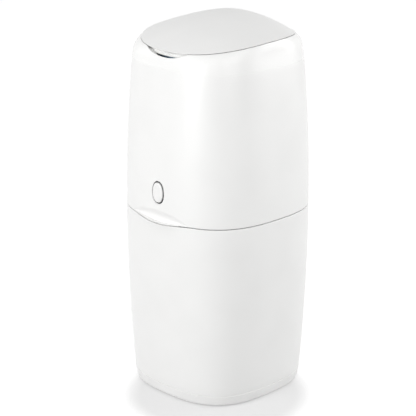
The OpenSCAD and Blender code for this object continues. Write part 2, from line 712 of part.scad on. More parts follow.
module clamp_frame() {
  hole = screw_r + screw_fit;
  color("whitesmoke") difference() {
    translate([0, 0, frame_z]) linear_extrude(frame_h) soft_rect(frame_w, frame_d, 12);
    translate([0, 0, frame_z + rail_t]) linear_extrude(frame_h)
      square([2 * frame_inner, frame_d - 2 * frame_side], center = true);
    translate([0, 0, frame_z - 1]) linear_extrude(frame_h)
      square([2 * frame_inner - 2 * rail_w, frame_d - 2 * frame_side - 2 * rail_w], center = true);
    for (x = [-1, 1], y = [-1, 1]) translate([x * clamp_screw[0], y * clamp_screw[1], frame_z - 1]) {
      cylinder(r = hole, h = frame_h + 2);
      cylinder(r = screw_head_r + screw_fit, h = 1 + screw_head_h);
    }
    translate([cutter_pivot[0], cutter_pivot[1], frame_z - 1]) cylinder(r = cutter_pin_r + pin_fit, h = 13);
  }
}
module clamp_screws() {
  color("silver") for (x = [-1, 1], y = [-1, 1])
    translate([x * clamp_screw[0], y * clamp_screw[1], frame_z])
      screw_up(screw_head_r, screw_head_h, screw_r, frame_h + deck_t - 1.6);
}
module latch_pin() {
  color("silver") translate([0, lever_y + lever_t / 2, pivot_z]) shaft_x(latch_pin_r, 2 * (ear_gap + ear_t));
}
module cutter_pin() {
  color("silver") translate([cutter_pivot[0], cutter_pivot[1], cutter_z - 3])
    screw_up(cutter_pin_r + 2.5, 3 - seat_fit, cutter_pin_r, 3 + cutter_t + cutter_play + 11.5);
}
module lid_hinge_pin() {
  color("silver") translate([0, lid_axis[0], lid_axis[1]])
    shaft_x(lid_pin_r, 2 * (lid_knuckle_half + knuckle_gap + collar_knuckle_l));
}

// ---------- Film cassette ----------
module cassette_tub() {
  wall_top = cassette_h - cover_t;
  color("lightsteelblue") translate([0, 0, deck_top]) rotate_extrude($fn = 96) polygon([
    [cassette_throat, 0], [cassette_r, 0], [cassette_r, wall_top], [cassette_r - cassette_wall, wall_top],
    [cassette_r - cassette_wall, cassette_wall], [cassette_throat + cassette_wall, cassette_wall],
    [cassette_throat + cassette_wall, wall_top - 1], [cassette_throat, wall_top - 1]
  ]);
}
module film_stack() {
  outer = film_in + film_w;
  pleat = (cassette_h - cover_t - cassette_wall - 1) / pleats;
  color("aliceblue") translate([0, 0, deck_top + cassette_wall]) rotate_extrude($fn = 96) polygon(concat(
    [[film_in, 0], [film_in, pleats * pleat]],
    [for (i = [pleats:-1:1]) each [[outer, i * pleat], [outer - 1.2, (i - 0.5) * pleat]]],
    [[outer, 0]]
  ));
}
module cassette_cover() {
  color("lightsteelblue") translate([0, 0, deck_top + cassette_h - cover_t]) rotate_extrude($fn = 96) polygon([
    [film_in, 0], [cassette_r, 0], [cassette_r, cover_t - 0.8], [cassette_r - 0.8, cover_t],
    [film_in + 0.8, cover_t], [film_in, cover_t - 0.8]
  ]);
}

// ---------- Button and latch ----------
module button_cap() {
  color("white") {
    translate([0, button_y, button_z]) oval_y(button_w, button_h, cap_t);
    translate([0, button_y + 1, button_z]) shaft_y(stem_r, stem_end - button_y - 1 - nose_l);
    translate([0, stem_end - nose_l - 1, button_z]) shaft_y(nose_r, nose_l + 1);
  }
}
module button_seal() {
  color("dimgray") translate([0, button_y + button_seal_in, button_z]) difference() {
    oval_y(tube_w, tube_h, button_seal_t);
    translate([0, -past, 0])
      oval_y(button_w + 2 * button_play, button_h + 2 * button_play, button_seal_t + 2 * past);
  }
}
module button_spring() {
  front = button_y + cap_t;
  back = guide_end - guide_back;
  color("silver") translate([0, front, button_z]) difference() {
    shaft_y(stem_r + 1.8, back - front);
    translate([0, -1, 0]) shaft_y(stem_r + 0.5, back - front + 2);
  }
}
module latch_lever() {
  middle = lever_y + lever_t / 2;
  color("whitesmoke") difference() {
    union() {
      box([-lever_w / 2, lever_y, lever_base], [lever_w / 2, lever_y + lever_t, pivot_z]);
      box([-lever_w / 2, lever_y - hook_l, lever_base], [lever_w / 2, lever_y + 1, lever_base + hook_h]);
      translate([0, middle, pivot_z]) shaft_x(latch_pin_r + 2.4, lever_w);
    }
    translate([0, middle, pivot_z]) shaft_x(latch_pin_r + pin_fit, lever_w + 2);
  }
}

// ---------- Clamp jaws ----------
// Right-hand jaw: flat below, sloping down to the soft lip above
module jaw_shape() {
  translate([0, jaw_half_d, jaw_z]) rotate([90, 0, 0]) linear_extrude(2 * jaw_half_d) polygon([
    [lip_w, 0], [jaw_w, 0], [jaw_w, jaw_h], [jaw_w - jaw_top_w, jaw_h], [lip_w, jaw_h - jaw_drop]
  ]);
}
module lip_shape() {
  top = jaw_h - jaw_drop;
  depth = 2 * (jaw_half_d - lip_short);
  translate([0, depth / 2, jaw_z]) rotate([90, 0, 0]) linear_extrude(depth) polygon([
    [seat_fit / 2, 2 * lip_short], [lip_w, lip_short],
    [lip_w, top - lip_short / 2], [seat_fit / 2, top - lip_short]
  ]);
}
module spring_shapes() {
  length = frame_inner - jaw_w;
  for (y = [-1, 1]) translate([jaw_w, y * jaw_spring_place, jaw_z + jaw_h / 2]) rotate([0, 90, 0])
    difference() {
      cylinder(r = jaw_spring_r, h = length);
      translate([0, 0, -past]) cylinder(r = jaw_spring_r - jaw_wire, h = length + 2 * past);
    }
}
module jaw_right() color("lightsteelblue") jaw_shape();
module jaw_left() color("lightsteelblue") mirror([1, 0, 0]) jaw_shape();
module jaw_lip_right() color("gray") lip_shape();
module jaw_lip_left() color("gray") mirror([1, 0, 0]) lip_shape();
module jaw_springs_right() color("silver") spring_shapes();
module jaw_springs_left() color("silver") mirror([1, 0, 0]) spring_shapes();

// ---------- Film cutter ----------
module cutter_arm() {
  x0 = cutter_pivot[0];
  y0 = cutter_pivot[1];
  color("gold") difference() {
    union() {
      translate([x0, y0, cutter_z]) cylinder(r = cutter_w / 2 + 1, h = cutter_t);
      box([x0, y0 - cutter_w / 2, cutter_z], [x0 + cutter_l, y0 + cutter_w / 2, cutter_top]);
      translate([x0 + cutter_l, y0, cutter_z + 1 - grip_h]) cylinder(r = grip_r, h = grip_h + cutter_t - 1);
    }
    translate([x0, y0, cutter_z - 1]) cylinder(r = cutter_pin_r + pin_fit, h = cutter_t + 2);
    for (x = [0.2, 0.8]) translate([x0 + blade_start + blade_l * x, y0, cutter_z - 1])
      cylinder(r = small_r + screw_fit, h = 6);
  }
}
module cutter_blade() {
  start = [cutter_pivot[0] + blade_start, cutter_pivot[1] - cutter_w / 2 + 1];
  color("silver") translate([start[0], start[1], cutter_z - blade_t]) difference() {
    linear_extrude(blade_t) polygon([
      [0, 0], [blade_l, 0], [blade_l, cutter_w - 1], [blade_l - 6, cutter_w - 1 + blade_out],
      [6, cutter_w - 1 + blade_out], [0, cutter_w - 1]
    ]);
    for (x = [0.2, 0.8]) translate([blade_l * x, cutter_w / 2 - 1, -1])
      cylinder(r = small_r + screw_fit, h = 4);
  }
}
module blade_screws() {
  color("silver") for (x = [0.2, 0.8])
    translate([cutter_pivot[0] + blade_start + blade_l * x, cutter_pivot[1], cutter_z - blade_t - small_head_h])
      screw_up(small_head_r, small_head_h, small_r, small_head_h + blade_t + 4.5);
}

// ---------- Lid ----------
// Places of the screws that hold the liner
function lid_boss(i) = lid_point(lid_boss_share, 45 + 90 * i);
module lid_cover() {
  inside = 1 - lid_t / lid_half;
  color("white") difference() {
    union() {
      capped(concat(
        [for (share = [0.05, 0.3, 0.52, 0.7, 0.84, 0.93]) lid_ring(share, lid_t)],
        [seat_ring(lid_half - lid_t, lid_power, 0.6), seat_ring(lid_half - lid_t, lid_power, -skirt_h)],
        [seat_ring(lid_half - 0.3, lid_power, -skirt_h), seat_ring(lid_half, lid_power, 0)],
        [for (share = [0.985, 0.95, 0.88, 0.78, 0.66, 0.52, 0.36, 0.2, 0.05]) lid_ring(share, 0)]
      ));
      for (i = [0:3]) translate([lid_boss(i)[0], lid_boss(i)[1], liner_z + liner_t])
        cylinder(r = lid_boss_r, h = lid_boss(i)[2] - lid_t / 2 - liner_z - liner_t);
      translate([0, lid_axis[0], lid_axis[1]]) shaft_x(lid_knuckle_r, 2 * lid_knuckle_half);
      box([-lid_knuckle_half, lid_half - 2, lid_axis[1] - 1],
          [lid_knuckle_half, lid_axis[0], lid_axis[1] + lid_knuckle_r]);
    }
    translate([0, lid_axis[0], lid_axis[1]]) shaft_x(lid_pin_r + pin_fit, body_w);
    for (i = [0:3]) translate([lid_boss(i)[0], lid_boss(i)[1], liner_z])
      cylinder(r = small_r + screw_fit, h = liner_t + lid_screw_grip + 1.5);
  }
}
module lid_liner() {
  color("whitesmoke") difference() {
    capped([ring(liner_half, lid_power, liner_z), ring(liner_half, lid_power, liner_z + liner_t)]);
    for (i = [0:3]) translate([lid_boss(i)[0], lid_boss(i)[1], liner_z - 1])
      cylinder(r = small_r + screw_fit, h = liner_t + 2);
  }
}
module lid_seal() {
  color("gray") translate([0, 0, liner_z - lid_seal_h]) rotate_extrude($fn = 96) polygon([
    [seal_middle, 0], [seal_middle + lid_seal_w, 0],
    [seal_middle + lid_seal_w + 1, lid_seal_h], [seal_middle - 1, lid_seal_h]
  ]);
}
module lid_screws() {
  color("silver") for (i = [0:3]) translate([lid_boss(i)[0], lid_boss(i)[1], liner_z - small_head_h])
    screw_up(small_head_r, small_head_h, small_r, small_head_h + liner_t + lid_screw_grip);
}

lower_shell();
base_plinth();
rubber_feet();
base_screws();
rim_seal();
catch_spring();
catch_screws();
main_hinge_pin();
upper_shell();
top_collar();
cassette_deck();
deck_screws();
clamp_frame();
clamp_screws();
latch_pin();
cutter_pin();
lid_hinge_pin();
cassette_tub();
film_stack();
cassette_cover();
button_seal();
button_spring();
jaw_springs_left();
jaw_springs_right();
button_cap();
latch_lever();
jaw_left();
jaw_lip_left();
jaw_right();
jaw_lip_right();
cutter_arm();
cutter_blade();
blade_screws();
lid_cover();
lid_liner();
lid_seal();
lid_screws();
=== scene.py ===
# %% [markdown]
# # A nappy bin, dressed in Blender
# The bin is a tall, white, moulded box in two halves, with a domed lid. Its construction, joints and sizes come
# packed as a frame. These cells give it its looks: smooth moulded shells over the frame's plain ones, wound
# springs, pleated film, and a finish for every plastic, rubber and metal.

# %% Load the frame
import math

import bmesh
import bpy
import numpy as np
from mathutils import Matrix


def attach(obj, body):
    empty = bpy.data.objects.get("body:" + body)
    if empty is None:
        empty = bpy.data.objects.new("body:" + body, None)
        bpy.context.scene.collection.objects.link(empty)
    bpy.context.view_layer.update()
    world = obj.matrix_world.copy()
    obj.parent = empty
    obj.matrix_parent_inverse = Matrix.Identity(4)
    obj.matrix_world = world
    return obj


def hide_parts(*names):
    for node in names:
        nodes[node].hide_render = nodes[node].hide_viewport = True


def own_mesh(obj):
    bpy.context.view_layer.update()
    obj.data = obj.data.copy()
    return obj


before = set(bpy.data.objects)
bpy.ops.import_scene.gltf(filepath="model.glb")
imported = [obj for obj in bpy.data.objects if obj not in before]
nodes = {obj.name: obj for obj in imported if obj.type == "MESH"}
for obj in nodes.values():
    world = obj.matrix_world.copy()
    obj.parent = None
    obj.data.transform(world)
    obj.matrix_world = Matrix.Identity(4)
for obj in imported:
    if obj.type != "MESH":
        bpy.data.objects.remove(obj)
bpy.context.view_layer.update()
MM = 0.001

# %% [markdown]
# ## The camera
# The bin is seen from a little above and off one corner, through a long lens, so its sides stay nearly upright. A
# camera can be turned by hand or aimed at a point. Here it is placed by angle and distance round the bin's middle
# and aimed by `to_track_quat`, because an angle, a rise and a distance are easy to change one at a time.

# %% Place the camera
from mathutils import Vector

SEAM_Z = 273.0
CAMERA_TURN, CAMERA_RISE = 44.9, 18.0
CAMERA_DISTANCE = 2361.4
CAMERA_AIM = Vector((-7.6, -12.5, 263.4))
LENS = 140.4


def linked(name, data):
    """New object in the scene."""
    made = bpy.data.objects.new(name, data)
    bpy.context.scene.collection.objects.link(made)
    return made


def outward(turn, rise):
    """Direction away from the bin, turned from the front towards the right and raised, in degrees."""
    a, e = math.radians(turn), math.radians(rise)
    return Vector((math.sin(a) * math.cos(e), -math.cos(a) * math.cos(e), math.sin(e)))


def aimed(made, place, target):
    """Object moved to a place in metres and turned to look at a target."""
    made.location = place
    made.rotation_mode = "QUATERNION"
    made.rotation_quaternion = (target - place).to_track_quat("-Z", "Y")
    return made


lens = bpy.data.cameras.new("camera")
lens.lens, lens.sensor_width = LENS, 36
camera_place = Vector((0, 0, SEAM_Z)) + outward(CAMERA_TURN, CAMERA_RISE) * CAMERA_DISTANCE
camera = aimed(linked("camera", lens), camera_place * MM, CAMERA_AIM * MM)
bpy.context.scene.camera = camera
print("camera at", [round(v, 3) for v in camera.location])

# %% [markdown]
# ## Making a material
# A material here is a small node tree. Colours are written as hex, as in a paint program, and turned to linear
# light by one function. Another adds a node and feeds its sockets with values or with other nodes, so each finish
# reads as a short list.

# %% Helpers for colours and nodes
def srgb(hex_colour):
    """Linear RGBA of a hex colour."""
    values = [int(hex_colour[i:i + 2], 16) / 255 for i in (1, 3, 5)]
    linear = [v / 12.92 if v <= 0.04045 else ((v + 0.055) / 1.055) ** 2.4 for v in values]
    return (*linear, 1.0)


def node(tree, kind, feeds=None, stops=(), **settings):
    """
    Adds a node with its settings. Feeds go to its sockets by name or number, or in order if they are a list. A feed
    is a value, another node, whose first output is linked, or a (node, output) pair. Stops are a ramp's positions
    and hex colours.
    """
    made = tree.nodes.new(kind)
    for name, value in settings.items():
        setattr(made, name, value)
    feeds = dict(enumerate(feeds)) if isinstance(feeds, list) else feeds or {}
    for name, value in feeds.items():
        if isinstance(value, bpy.types.Node):
            value = (value, 0)
        if isinstance(value, tuple) and isinstance(value[0], bpy.types.Node):
            tree.links.new(value[0].outputs[value[1]], made.inputs[name])
        else:
            made.inputs[name].default_value = value
    for i, (position, colour) in enumerate(stops):
        made.color_ramp.elements[i].position = position
        made.color_ramp.elements[i].color = srgb(colour)
    return made


def new_material(name):
    """Empty node material: returns it, its tree and its object coordinates."""
    material = bpy.data.materials.new(name)
    material.use_nodes = True
    material.node_tree.nodes.clear()
    return material, material.node_tree, (node(material.node_tree, "ShaderNodeTexCoord"), "Object")


WALL_WHITE = "#F6F6F5"
print("the walls' white as linear light:", [round(v, 3) for v in srgb(WALL_WHITE)[:3]])

# %% [markdown]
# ## Moulded plastic
# Every plastic part comes out of a steel mould. Its colour is even, but the skin is not a mirror: cooling leaves
# a faint, wide waviness, and the tool's spark-eroded surface leaves a fine grain that softens the gloss. A single
# noise could do for both, but they have different sizes, so the grain and the waves are two noises at their real
# size in millimetres, each with its own bump.

# %% Moulded plastic
WAVE_MM, WAVE_DEPTH_MM = 60.0, 0.1


def moulded_plastic(name, colour, shade, roughness, grain_mm, grain_depth_mm, ior=1.5):
    """Moulded plastic: its colour drifts to shade with the waves, and its roughness follows the grain."""
    material, tree, place = new_material(name)
    grain = node(tree, "ShaderNodeTexNoise", {"Vector": place, "Scale": 1 / (grain_mm * MM), "Detail": 3.0})
    wave = node(tree, "ShaderNodeTexNoise", {"Vector": place, "Scale": 1 / (WAVE_MM * MM), "Detail": 1.0})
    drift = node(tree, "ShaderNodeValToRGB", {"Fac": wave}, [(0.3, shade), (0.6, colour)])
    gloss = node(tree, "ShaderNodeMapRange", {"Value": grain, "To Min": roughness - 0.04, "To Max": roughness + 0.04})
    wide = node(tree, "ShaderNodeBump", {"Height": wave, "Strength": 1.0, "Distance": WAVE_DEPTH_MM * MM})
    fine = node(tree, "ShaderNodeBump", {"Height": grain, "Strength": 1.0, "Distance": grain_depth_mm * MM,
                                         "Normal": wide})
    shader = node(tree, "ShaderNodeBsdfPrincipled", {"Base Color": drift, "Roughness": gloss, "IOR": ior,
                                                     "Normal": fine})
    node(tree, "ShaderNodeOutputMaterial", {"Surface": shader})
    return material


# ABS for the outside: satin, because the grain is only a third of a millimetre wide
abs_white = moulded_plastic("abs_satin_moulded", WALL_WHITE, "#F4F4F3", 0.34, 0.35, 0.006)
# The collar comes from a polished mould, so it is a touch glossier; its white is painted brighter than the walls'
# to stand in for the stronger light on its shoulder
abs_painted_brighter = moulded_plastic("abs_glossy_painted_brighter", "#FAFAF9", "#F9F9F8", 0.26, 0.35, 0.003)
# The same ABS, from a mould with a slightly coarser skin that hides scuffs
abs_plinth = moulded_plastic("abs_fine_textured", "#F8F8F7", "#F4F4F3", 0.42, 0.6, 0.012)
# Polypropylene inside: waxy and matt, a little greyer
pp_grey = moulded_plastic("polypropylene_matt", "#E3E5E7", "#DDDFE2", 0.5, 0.8, 0.02, ior=1.49)
# The refill cassette and the jaws: the same plastic, dyed pale blue
pp_blue = moulded_plastic("polypropylene_blue", "#A9C3DC", "#9DB9D4", 0.48, 0.8, 0.02, ior=1.49)
# Acetal for the cutter: slippery, dyed amber so that a hand finds it
acetal_amber = moulded_plastic("acetal_amber", "#E3AE34", "#DBA42B", 0.36, 0.5, 0.01, ior=1.48)
print("plastics:", [m.name for m in (abs_white, abs_painted_brighter, abs_plinth, pp_grey, pp_blue, acetal_amber)])

# %% [markdown]
# ## Rubber
# The seals and lips are thermoplastic rubber and the feet are a harder rubber. Both are dull, because their skin
# is rough at a scale too small to see, and a soft sheen shows where light grazes it. Dust makes pale specks. A
# diffuse shader alone would look like chalk, so a principled one with a little sheen is used.

# %% Rubber
def soft_rubber(name, colour, dusty, roughness, speck_mm):
    """Rubber: pale specks of dust over a dull colour, and a pebbled bump."""
    material, tree, place = new_material(name)
    speck = node(tree, "ShaderNodeTexNoise", {"Vector": place, "Scale": 1 / (speck_mm * MM), "Detail": 4.0,
                                              "Roughness": 0.7})
    dust = node(tree, "ShaderNodeValToRGB", {"Fac": speck}, [(0.5, colour), (0.8, dusty)])
    pebble = node(tree, "ShaderNodeTexVoronoi", {"Vector": place, "Scale": 1 / (1.5 * speck_mm * MM)})
    bump = node(tree, "ShaderNodeBump", {"Height": pebble, "Strength": 0.6, "Distance": 0.03 * MM})
    shader = node(tree, "ShaderNodeBsdfPrincipled", {"Base Color": dust, "Roughness": roughness, "IOR": 1.52,
                                                     "Sheen Weight": 0.15, "Sheen Roughness": 0.5, "Normal": bump})
    node(tree, "ShaderNodeOutputMaterial", {"Surface": shader})
    return material


tpe_grey = soft_rubber("thermoplastic_rubber_grey", "#74787C", "#85898D", 0.72, 0.5)
rubber_black = soft_rubber("moulded_rubber_black", "#2B2B2D", "#3B3B3D", 0.8, 0.6)
print("rubbers:", tpe_grey.name, rubber_black.name)

# %% [markdown]
# ## Steel
# The screws are zinc-plated, the springs and pins are drawn bright wire, and the blade is ground stainless
# sheet. What tells them apart is the direction and depth of their fine lines: a drawn pin has them along its
# length, a ground blade has them across, and plating has a soft, cloudy grain. One function stretches a noise
# along an axis: X for the pins, as three of the four lie that way, and Y for the blade. The zinc and the coiled
# springs leave it round.

# %% Steel
CLOUD_MM = 4.0


def fine_steel(name, colour, cloudy, roughness, line_mm, stretch=(1.0, 1.0, 1.0)):
    """Steel: fine lines of a noise, scaled apart by stretch, in its gloss and bump; clouds in its colour."""
    material, tree, place = new_material(name)
    drawn = node(tree, "ShaderNodeMapping", {"Vector": place, "Scale": stretch})
    line = node(tree, "ShaderNodeTexNoise", {"Vector": drawn, "Scale": 1 / (line_mm * MM), "Detail": 2.0})
    cloud = node(tree, "ShaderNodeTexNoise", {"Vector": place, "Scale": 1 / (CLOUD_MM * MM), "Detail": 2.0})
    tint = node(tree, "ShaderNodeValToRGB", {"Fac": cloud}, [(0.35, cloudy), (0.65, colour)])
    gloss = node(tree, "ShaderNodeMapRange", {"Value": line, "To Min": roughness - 0.07, "To Max": roughness + 0.07})
    bump = node(tree, "ShaderNodeBump", {"Height": line, "Strength": 0.5, "Distance": 0.004 * MM})
    shader = node(tree, "ShaderNodeBsdfPrincipled", {"Base Color": tint, "Metallic": 1.0, "Roughness": gloss,
                                                     "Normal": bump})
    node(tree, "ShaderNodeOutputMaterial", {"Surface": shader})
    return material


zinc_plated = fine_steel("steel_zinc_plated", "#C6C9CB", "#B4B8BD", 0.38, 0.8)
spring_wire = fine_steel("steel_spring_wire", "#B9BABA", "#A8A9AB", 0.3, 0.3)
pin_steel = fine_steel("steel_pin_drawn", "#C2C3C4", "#B6B7B9", 0.24, 0.25, stretch=(0.05, 1.0, 1.0))
blade_steel = fine_steel("steel_blade_ground", "#CBCCCE", "#BDBFC1", 0.22, 0.25, stretch=(1.0, 0.04, 1.0))
print("steels:", [m.name for m in (zinc_plated, spring_wire, pin_steel, blade_steel)])

# %% [markdown]
# ## Film
# The refill is thin polyethylene tube, pushed together into pleats. One layer is nearly clear, but a stack of
# them looks milky with a bluish tint, and each fold catches a bright line. A fully clear shader would make the
# stack vanish, so it is mostly solid with some transmission, and a fine crinkle breaks up the shine.

# %% Film
def crinkled_film(name, colour, painted_glint, crinkle_mm):
    """Milky film: crinkles of a Voronoi pattern over a partly clear body, with a painted glint lighter along them."""
    material, tree, place = new_material(name)
    crinkle = node(tree, "ShaderNodeTexVoronoi", {"Vector": place, "Scale": 1 / (crinkle_mm * MM)})
    # The ramp's lighter stop is a painted glint along the crinkles
    milk = node(tree, "ShaderNodeValToRGB", {"Fac": crinkle}, [(0.0, colour), (1.0, painted_glint)])
    bump = node(tree, "ShaderNodeBump", {"Height": crinkle, "Strength": 0.5, "Distance": 0.15 * MM})
    shader = node(tree, "ShaderNodeBsdfPrincipled", {"Base Color": milk, "Roughness": 0.28, "IOR": 1.51,
                                                     "Transmission Weight": 0.25, "Normal": bump})
    node(tree, "ShaderNodeOutputMaterial", {"Surface": shader})
    return material


film_milky = crinkled_film("polyethylene_film", "#DCE8EF", "#F4F8FA", 3.0)
print("film:", film_milky.name)

# %% [markdown]
# ## Shapes as rings
# Every moulded shell of this bin follows one rule: a rounded square, written as a superellipse, whose width and
# squareness change slowly with height. Subdivision surfaces could give such a form, but not at exact sizes. So the
# shells are skinned over rings worked out from the rule, with the rings close together where an edge is round.

# %% The body's rule, in millimetres
HALF = 120.0
CREASE_Z = 488.0
PLINTH_Z = 17.4
WALL = 3.0
RIM = 7.0
LOWER_TOP, UPPER_BASE = SEAM_Z - 0.6, SEAM_Z + 0.6
LOWER_BOW, UPPER_BOW, LEAN = 3350, 3000, 1.5
BASE_POWER, SEAM_POWER, COLLAR_POWER = 2.85, 2.75, 3.24
RING = 360


def half_at(z):
    """Half the body's width at a height: it bows in below the seam and leans in above it."""
    rise = z - SEAM_Z
    if rise < 0:
        return HALF - rise ** 2 / (2 * LOWER_BOW)
    return HALF - rise * math.tan(math.radians(LEAN)) - rise ** 2 / (2 * UPPER_BOW)


def power_at(z):
    """Squareness of the plan at a height: least at the seam, most at the crease."""
    return float(np.interp(z, [0, SEAM_Z, CREASE_Z], [BASE_POWER, SEAM_POWER, COLLAR_POWER]))


def plan(half, power, count=RING):
    """Rounded square of a half-width, at even angles round the middle."""
    turn = np.linspace(0, 2 * math.pi, count, endpoint=False)
    reach = half / (np.abs(np.cos(turn)) ** power + np.abs(np.sin(turn)) ** power) ** (1 / power)
    return reach * np.cos(turn), reach * np.sin(turn)


def body_ring(inset, z):
    x, y = plan(half_at(z) - inset, power_at(z))
    return np.column_stack([x, y, np.full(RING, z)])


print("half-width at the plinth, seam and crease:", [round(half_at(z), 2) for z in (PLINTH_Z, SEAM_Z, CREASE_Z)])


# %% From profile to mesh
def rounded(corners, steps=5, longest=9.0):
    """Profile through corners (inset, height, rounding): each corner becomes a curve, long stretches are split."""
    path = []
    for i, (inset, z, rounding) in enumerate(corners):
        here = np.array([inset, z], float)
        if rounding:
            before = np.array(corners[i - 1][:2], float)
            after = np.array(corners[(i + 1) % len(corners)][:2], float)
            start = here + (before - here) / np.linalg.norm(before - here) * rounding
            end = here + (after - here) / np.linalg.norm(after - here) * rounding
            shares = np.linspace(0, 1, steps + 1)[:, None]
            path += list((1 - shares) ** 2 * start + 2 * shares * (1 - shares) * here + shares ** 2 * end)
        else:
            path.append(here)
    split = [path[0]]
    for a, b in zip(path, path[1:]):
        count = max(1, math.ceil(np.linalg.norm(b - a) / longest))
        split += [a + (b - a) * k / count for k in range(1, count + 1)]
    return split


def loft(rings, closed=False):
    """Skin over rings. A closed stack joins its last ring to its first, an open one is capped flat."""
    count, bands = len(rings[0]), len(rings) - (0 if closed else 1)
    faces = []
    for j in range(bands):
        a, b = j * count, (j + 1) % len(rings) * count
        faces += [(a + i, a + (i + 1) % count, b + (i + 1) % count, b + i) for i in range(count)]
    if not closed:
        faces.append(tuple(range(count - 1, -1, -1)))
        faces.append(tuple(range(bands * count, (bands + 1) * count)))
    return np.vstack(rings), faces


def joined(*shapes):
    """Several shapes as one."""
    points, faces, start = [], [], 0
    for some, polygons in shapes:
        points.append(some)
        faces += [tuple(i + start for i in polygon) for polygon in polygons]
        start += len(some)
    return np.vstack(points), faces


print("a profile corner of 1 mm has", len(rounded([(0, 0, 0), (0, 9, 1), (9, 9, 0)])), "points")


# %% From shape to piece
def to_mesh(name, shape):
    """Closed mesh of a shape in millimetres, merged, with its faces outwards."""
    points, faces = shape
    mesh = bpy.data.meshes.new(name)
    mesh.from_pydata(np.asarray(points) * MM, [], faces)
    shell = bmesh.new()
    shell.from_mesh(mesh)
    bmesh.ops.remove_doubles(shell, verts=shell.verts, dist=0.0005 * MM)
    bmesh.ops.recalc_face_normals(shell, faces=shell.faces)
    shell.to_mesh(mesh)
    shell.free()
    return mesh


def piece(name, shape, material, body, slot, *stands_for, sharp=35):
    """Piece of the bin that rides on a body, may stand for CAD nodes, and is smooth but for edges over sharp."""
    mesh = shape if isinstance(shape, bpy.types.Mesh) else to_mesh(name, shape)
    mesh.name = name
    mesh.shade_smooth()
    mesh.set_sharp_from_angle(angle=math.radians(sharp))
    mesh.materials.clear()
    mesh.materials.append(material)
    made = linked(name, mesh)
    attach(made, body)
    if stands_for:
        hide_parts(*stands_for)
    print(name, "-", len(mesh.polygons), "faces")
    return made


print("helpers for pieces: to_mesh, piece")


# %% Cutting one shape with another
def temporary(shape):
    return linked("temporary", to_mesh("temporary", shape))


def evaluated_mesh(obj):
    """Plain mesh of an object with its modifiers applied; the object itself is removed."""
    bpy.context.view_layer.update()
    mesh = bpy.data.meshes.new_from_object(obj.evaluated_get(bpy.context.evaluated_depsgraph_get()))
    bpy.data.objects.remove(obj)
    return mesh


def shape_of(mesh):
    """Shape in millimetres of a plain mesh."""
    return np.array([v.co for v in mesh.vertices]) / MM, [tuple(p.vertices) for p in mesh.polygons]


def carved(shape, *cutters):
    """Shape less the cutters, by exact booleans."""
    base = temporary(shape)
    tools = [temporary(cutter) for cutter in cutters]
    for tool in tools:
        cut = base.modifiers.new("cut", "BOOLEAN")
        cut.operation, cut.solver, cut.object = "DIFFERENCE", "EXACT", tool
    mesh = evaluated_mesh(base)
    for tool in tools:
        bpy.data.objects.remove(tool)
    return shape_of(mesh)


print("helpers for cutting: temporary, evaluated_mesh, shape_of, carved")

# %% [markdown]
# ## Small solids
# Knuckles, bosses, pins and tubes are turned shapes, and brackets are blocks. A turned shape is a profile spun
# round an axis, which keeps its bore round and its edges easy to round. A block is a cube whose edges are
# bevelled, because no moulded edge is knife sharp.

# %% Turned shapes and blocks
def turned(profile, centre, axis="z", count=48):
    """Closed profile of (radius, height) points, spun round an axis through centre."""
    spin = np.linspace(0, 2 * math.pi, count, endpoint=False)
    order = {"z": [0, 1, 2], "x": [2, 0, 1], "y": [0, 2, 1]}[axis]
    rings = [np.column_stack([r * np.cos(spin), r * np.sin(spin), np.full(count, h)])[:, order] + centre
             for r, h in profile]
    return loft(rings, closed=True)


def tube(centre, axis, bore, radius, low, high, edge=0.3):
    """Tube with rounded rims from low to high along its axis."""
    return turned(rounded([(bore, low, edge), (radius, low, edge), (radius, high, edge), (bore, high, edge)], 3),
                  centre, axis)


def rod(centre, axis, radius, low, high, count=48):
    """Plain rod along an axis, for cutting holes."""
    return turned([(0, low), (radius, low), (radius, high), (0, high)], centre, axis, count)


def four(x, y, *z):
    """The four corners of a rectangle round the middle."""
    return [(a, b, *z) for a in (-x, x) for b in (-y, y)]


def block(low, high, edge=0.4):
    """Block between two corners, with bevelled edges."""
    low, high = np.array(low, float), np.array(high, float)
    shell = bmesh.new()
    bmesh.ops.create_cube(shell, size=1.0)
    bmesh.ops.scale(shell, vec=high - low, verts=shell.verts)
    bmesh.ops.translate(shell, vec=(high + low) / 2, verts=shell.verts)
    bmesh.ops.bevel(shell, geom=shell.edges[:], offset=edge, segments=2, profile=0.5, affect="EDGES")
    points = np.array([v.co for v in shell.verts])
    faces = [tuple(v.index for v in f.verts) for f in shell.faces]
    shell.free()
    return points, faces


print("a tube has", len(tube((0, 0, 0), "x", 1, 3, 0, 9)[0]), "points")

# %% [markdown]
# ## The front lips
# Under the push button the seam dips and both halves swell a little, so that the housing's edge becomes a lip for
# the fingertips. It could be modelled as an added part, but on the real shells it is one flowing surface. So
# it is a rule applied to the rings: a bell shape across the front that fades with the distance from the seam.

# %% Swelling and dip of the front lips
LIP_OUT, LIP_DIP, LIP_HALF, LIP_FADE = 3.2, 5.0, 64.0, 26.0


def lip_share(points):
    """1 in the middle of the front, 0 from the lips' ends on."""
    x, y = points[:, 0], points[:, 1]
    return np.where((y < 0) & (np.abs(x) < LIP_HALF), np.cos(np.pi / 2 * x / LIP_HALF) ** 2, 0.0)


def with_lip(points, dip=1.0):
    """Ring of an outer face, swollen and dipped by how near it is to the seam."""
    points = points.copy()
    away = np.maximum(0, np.abs(points[:, 2] - SEAM_Z) - 0.6)
    near = np.clip(1 - away / LIP_FADE, 0, 1)
    share = lip_share(points)
    points[:, 1] -= LIP_OUT * share * near ** 2
    points[:, 2] -= LIP_DIP * share * near ** 2 * (3 - 2 * near) * dip
    return points


print("lip at the middle:", with_lip(body_ring(0, LOWER_TOP))[3 * RING // 4].round(2))

# %% [markdown]
# ## The lower bin
# One deep moulding: a floor, a wall that bows out to the seam, a thicker rim with a ledge for the seal, and two
# knuckles for the hinge pin. The wall could be a plane with a Solidify modifier, but the rim steps and the ledge
# need both faces drawn, so one profile runs up the outside, over the rim and down the inside.

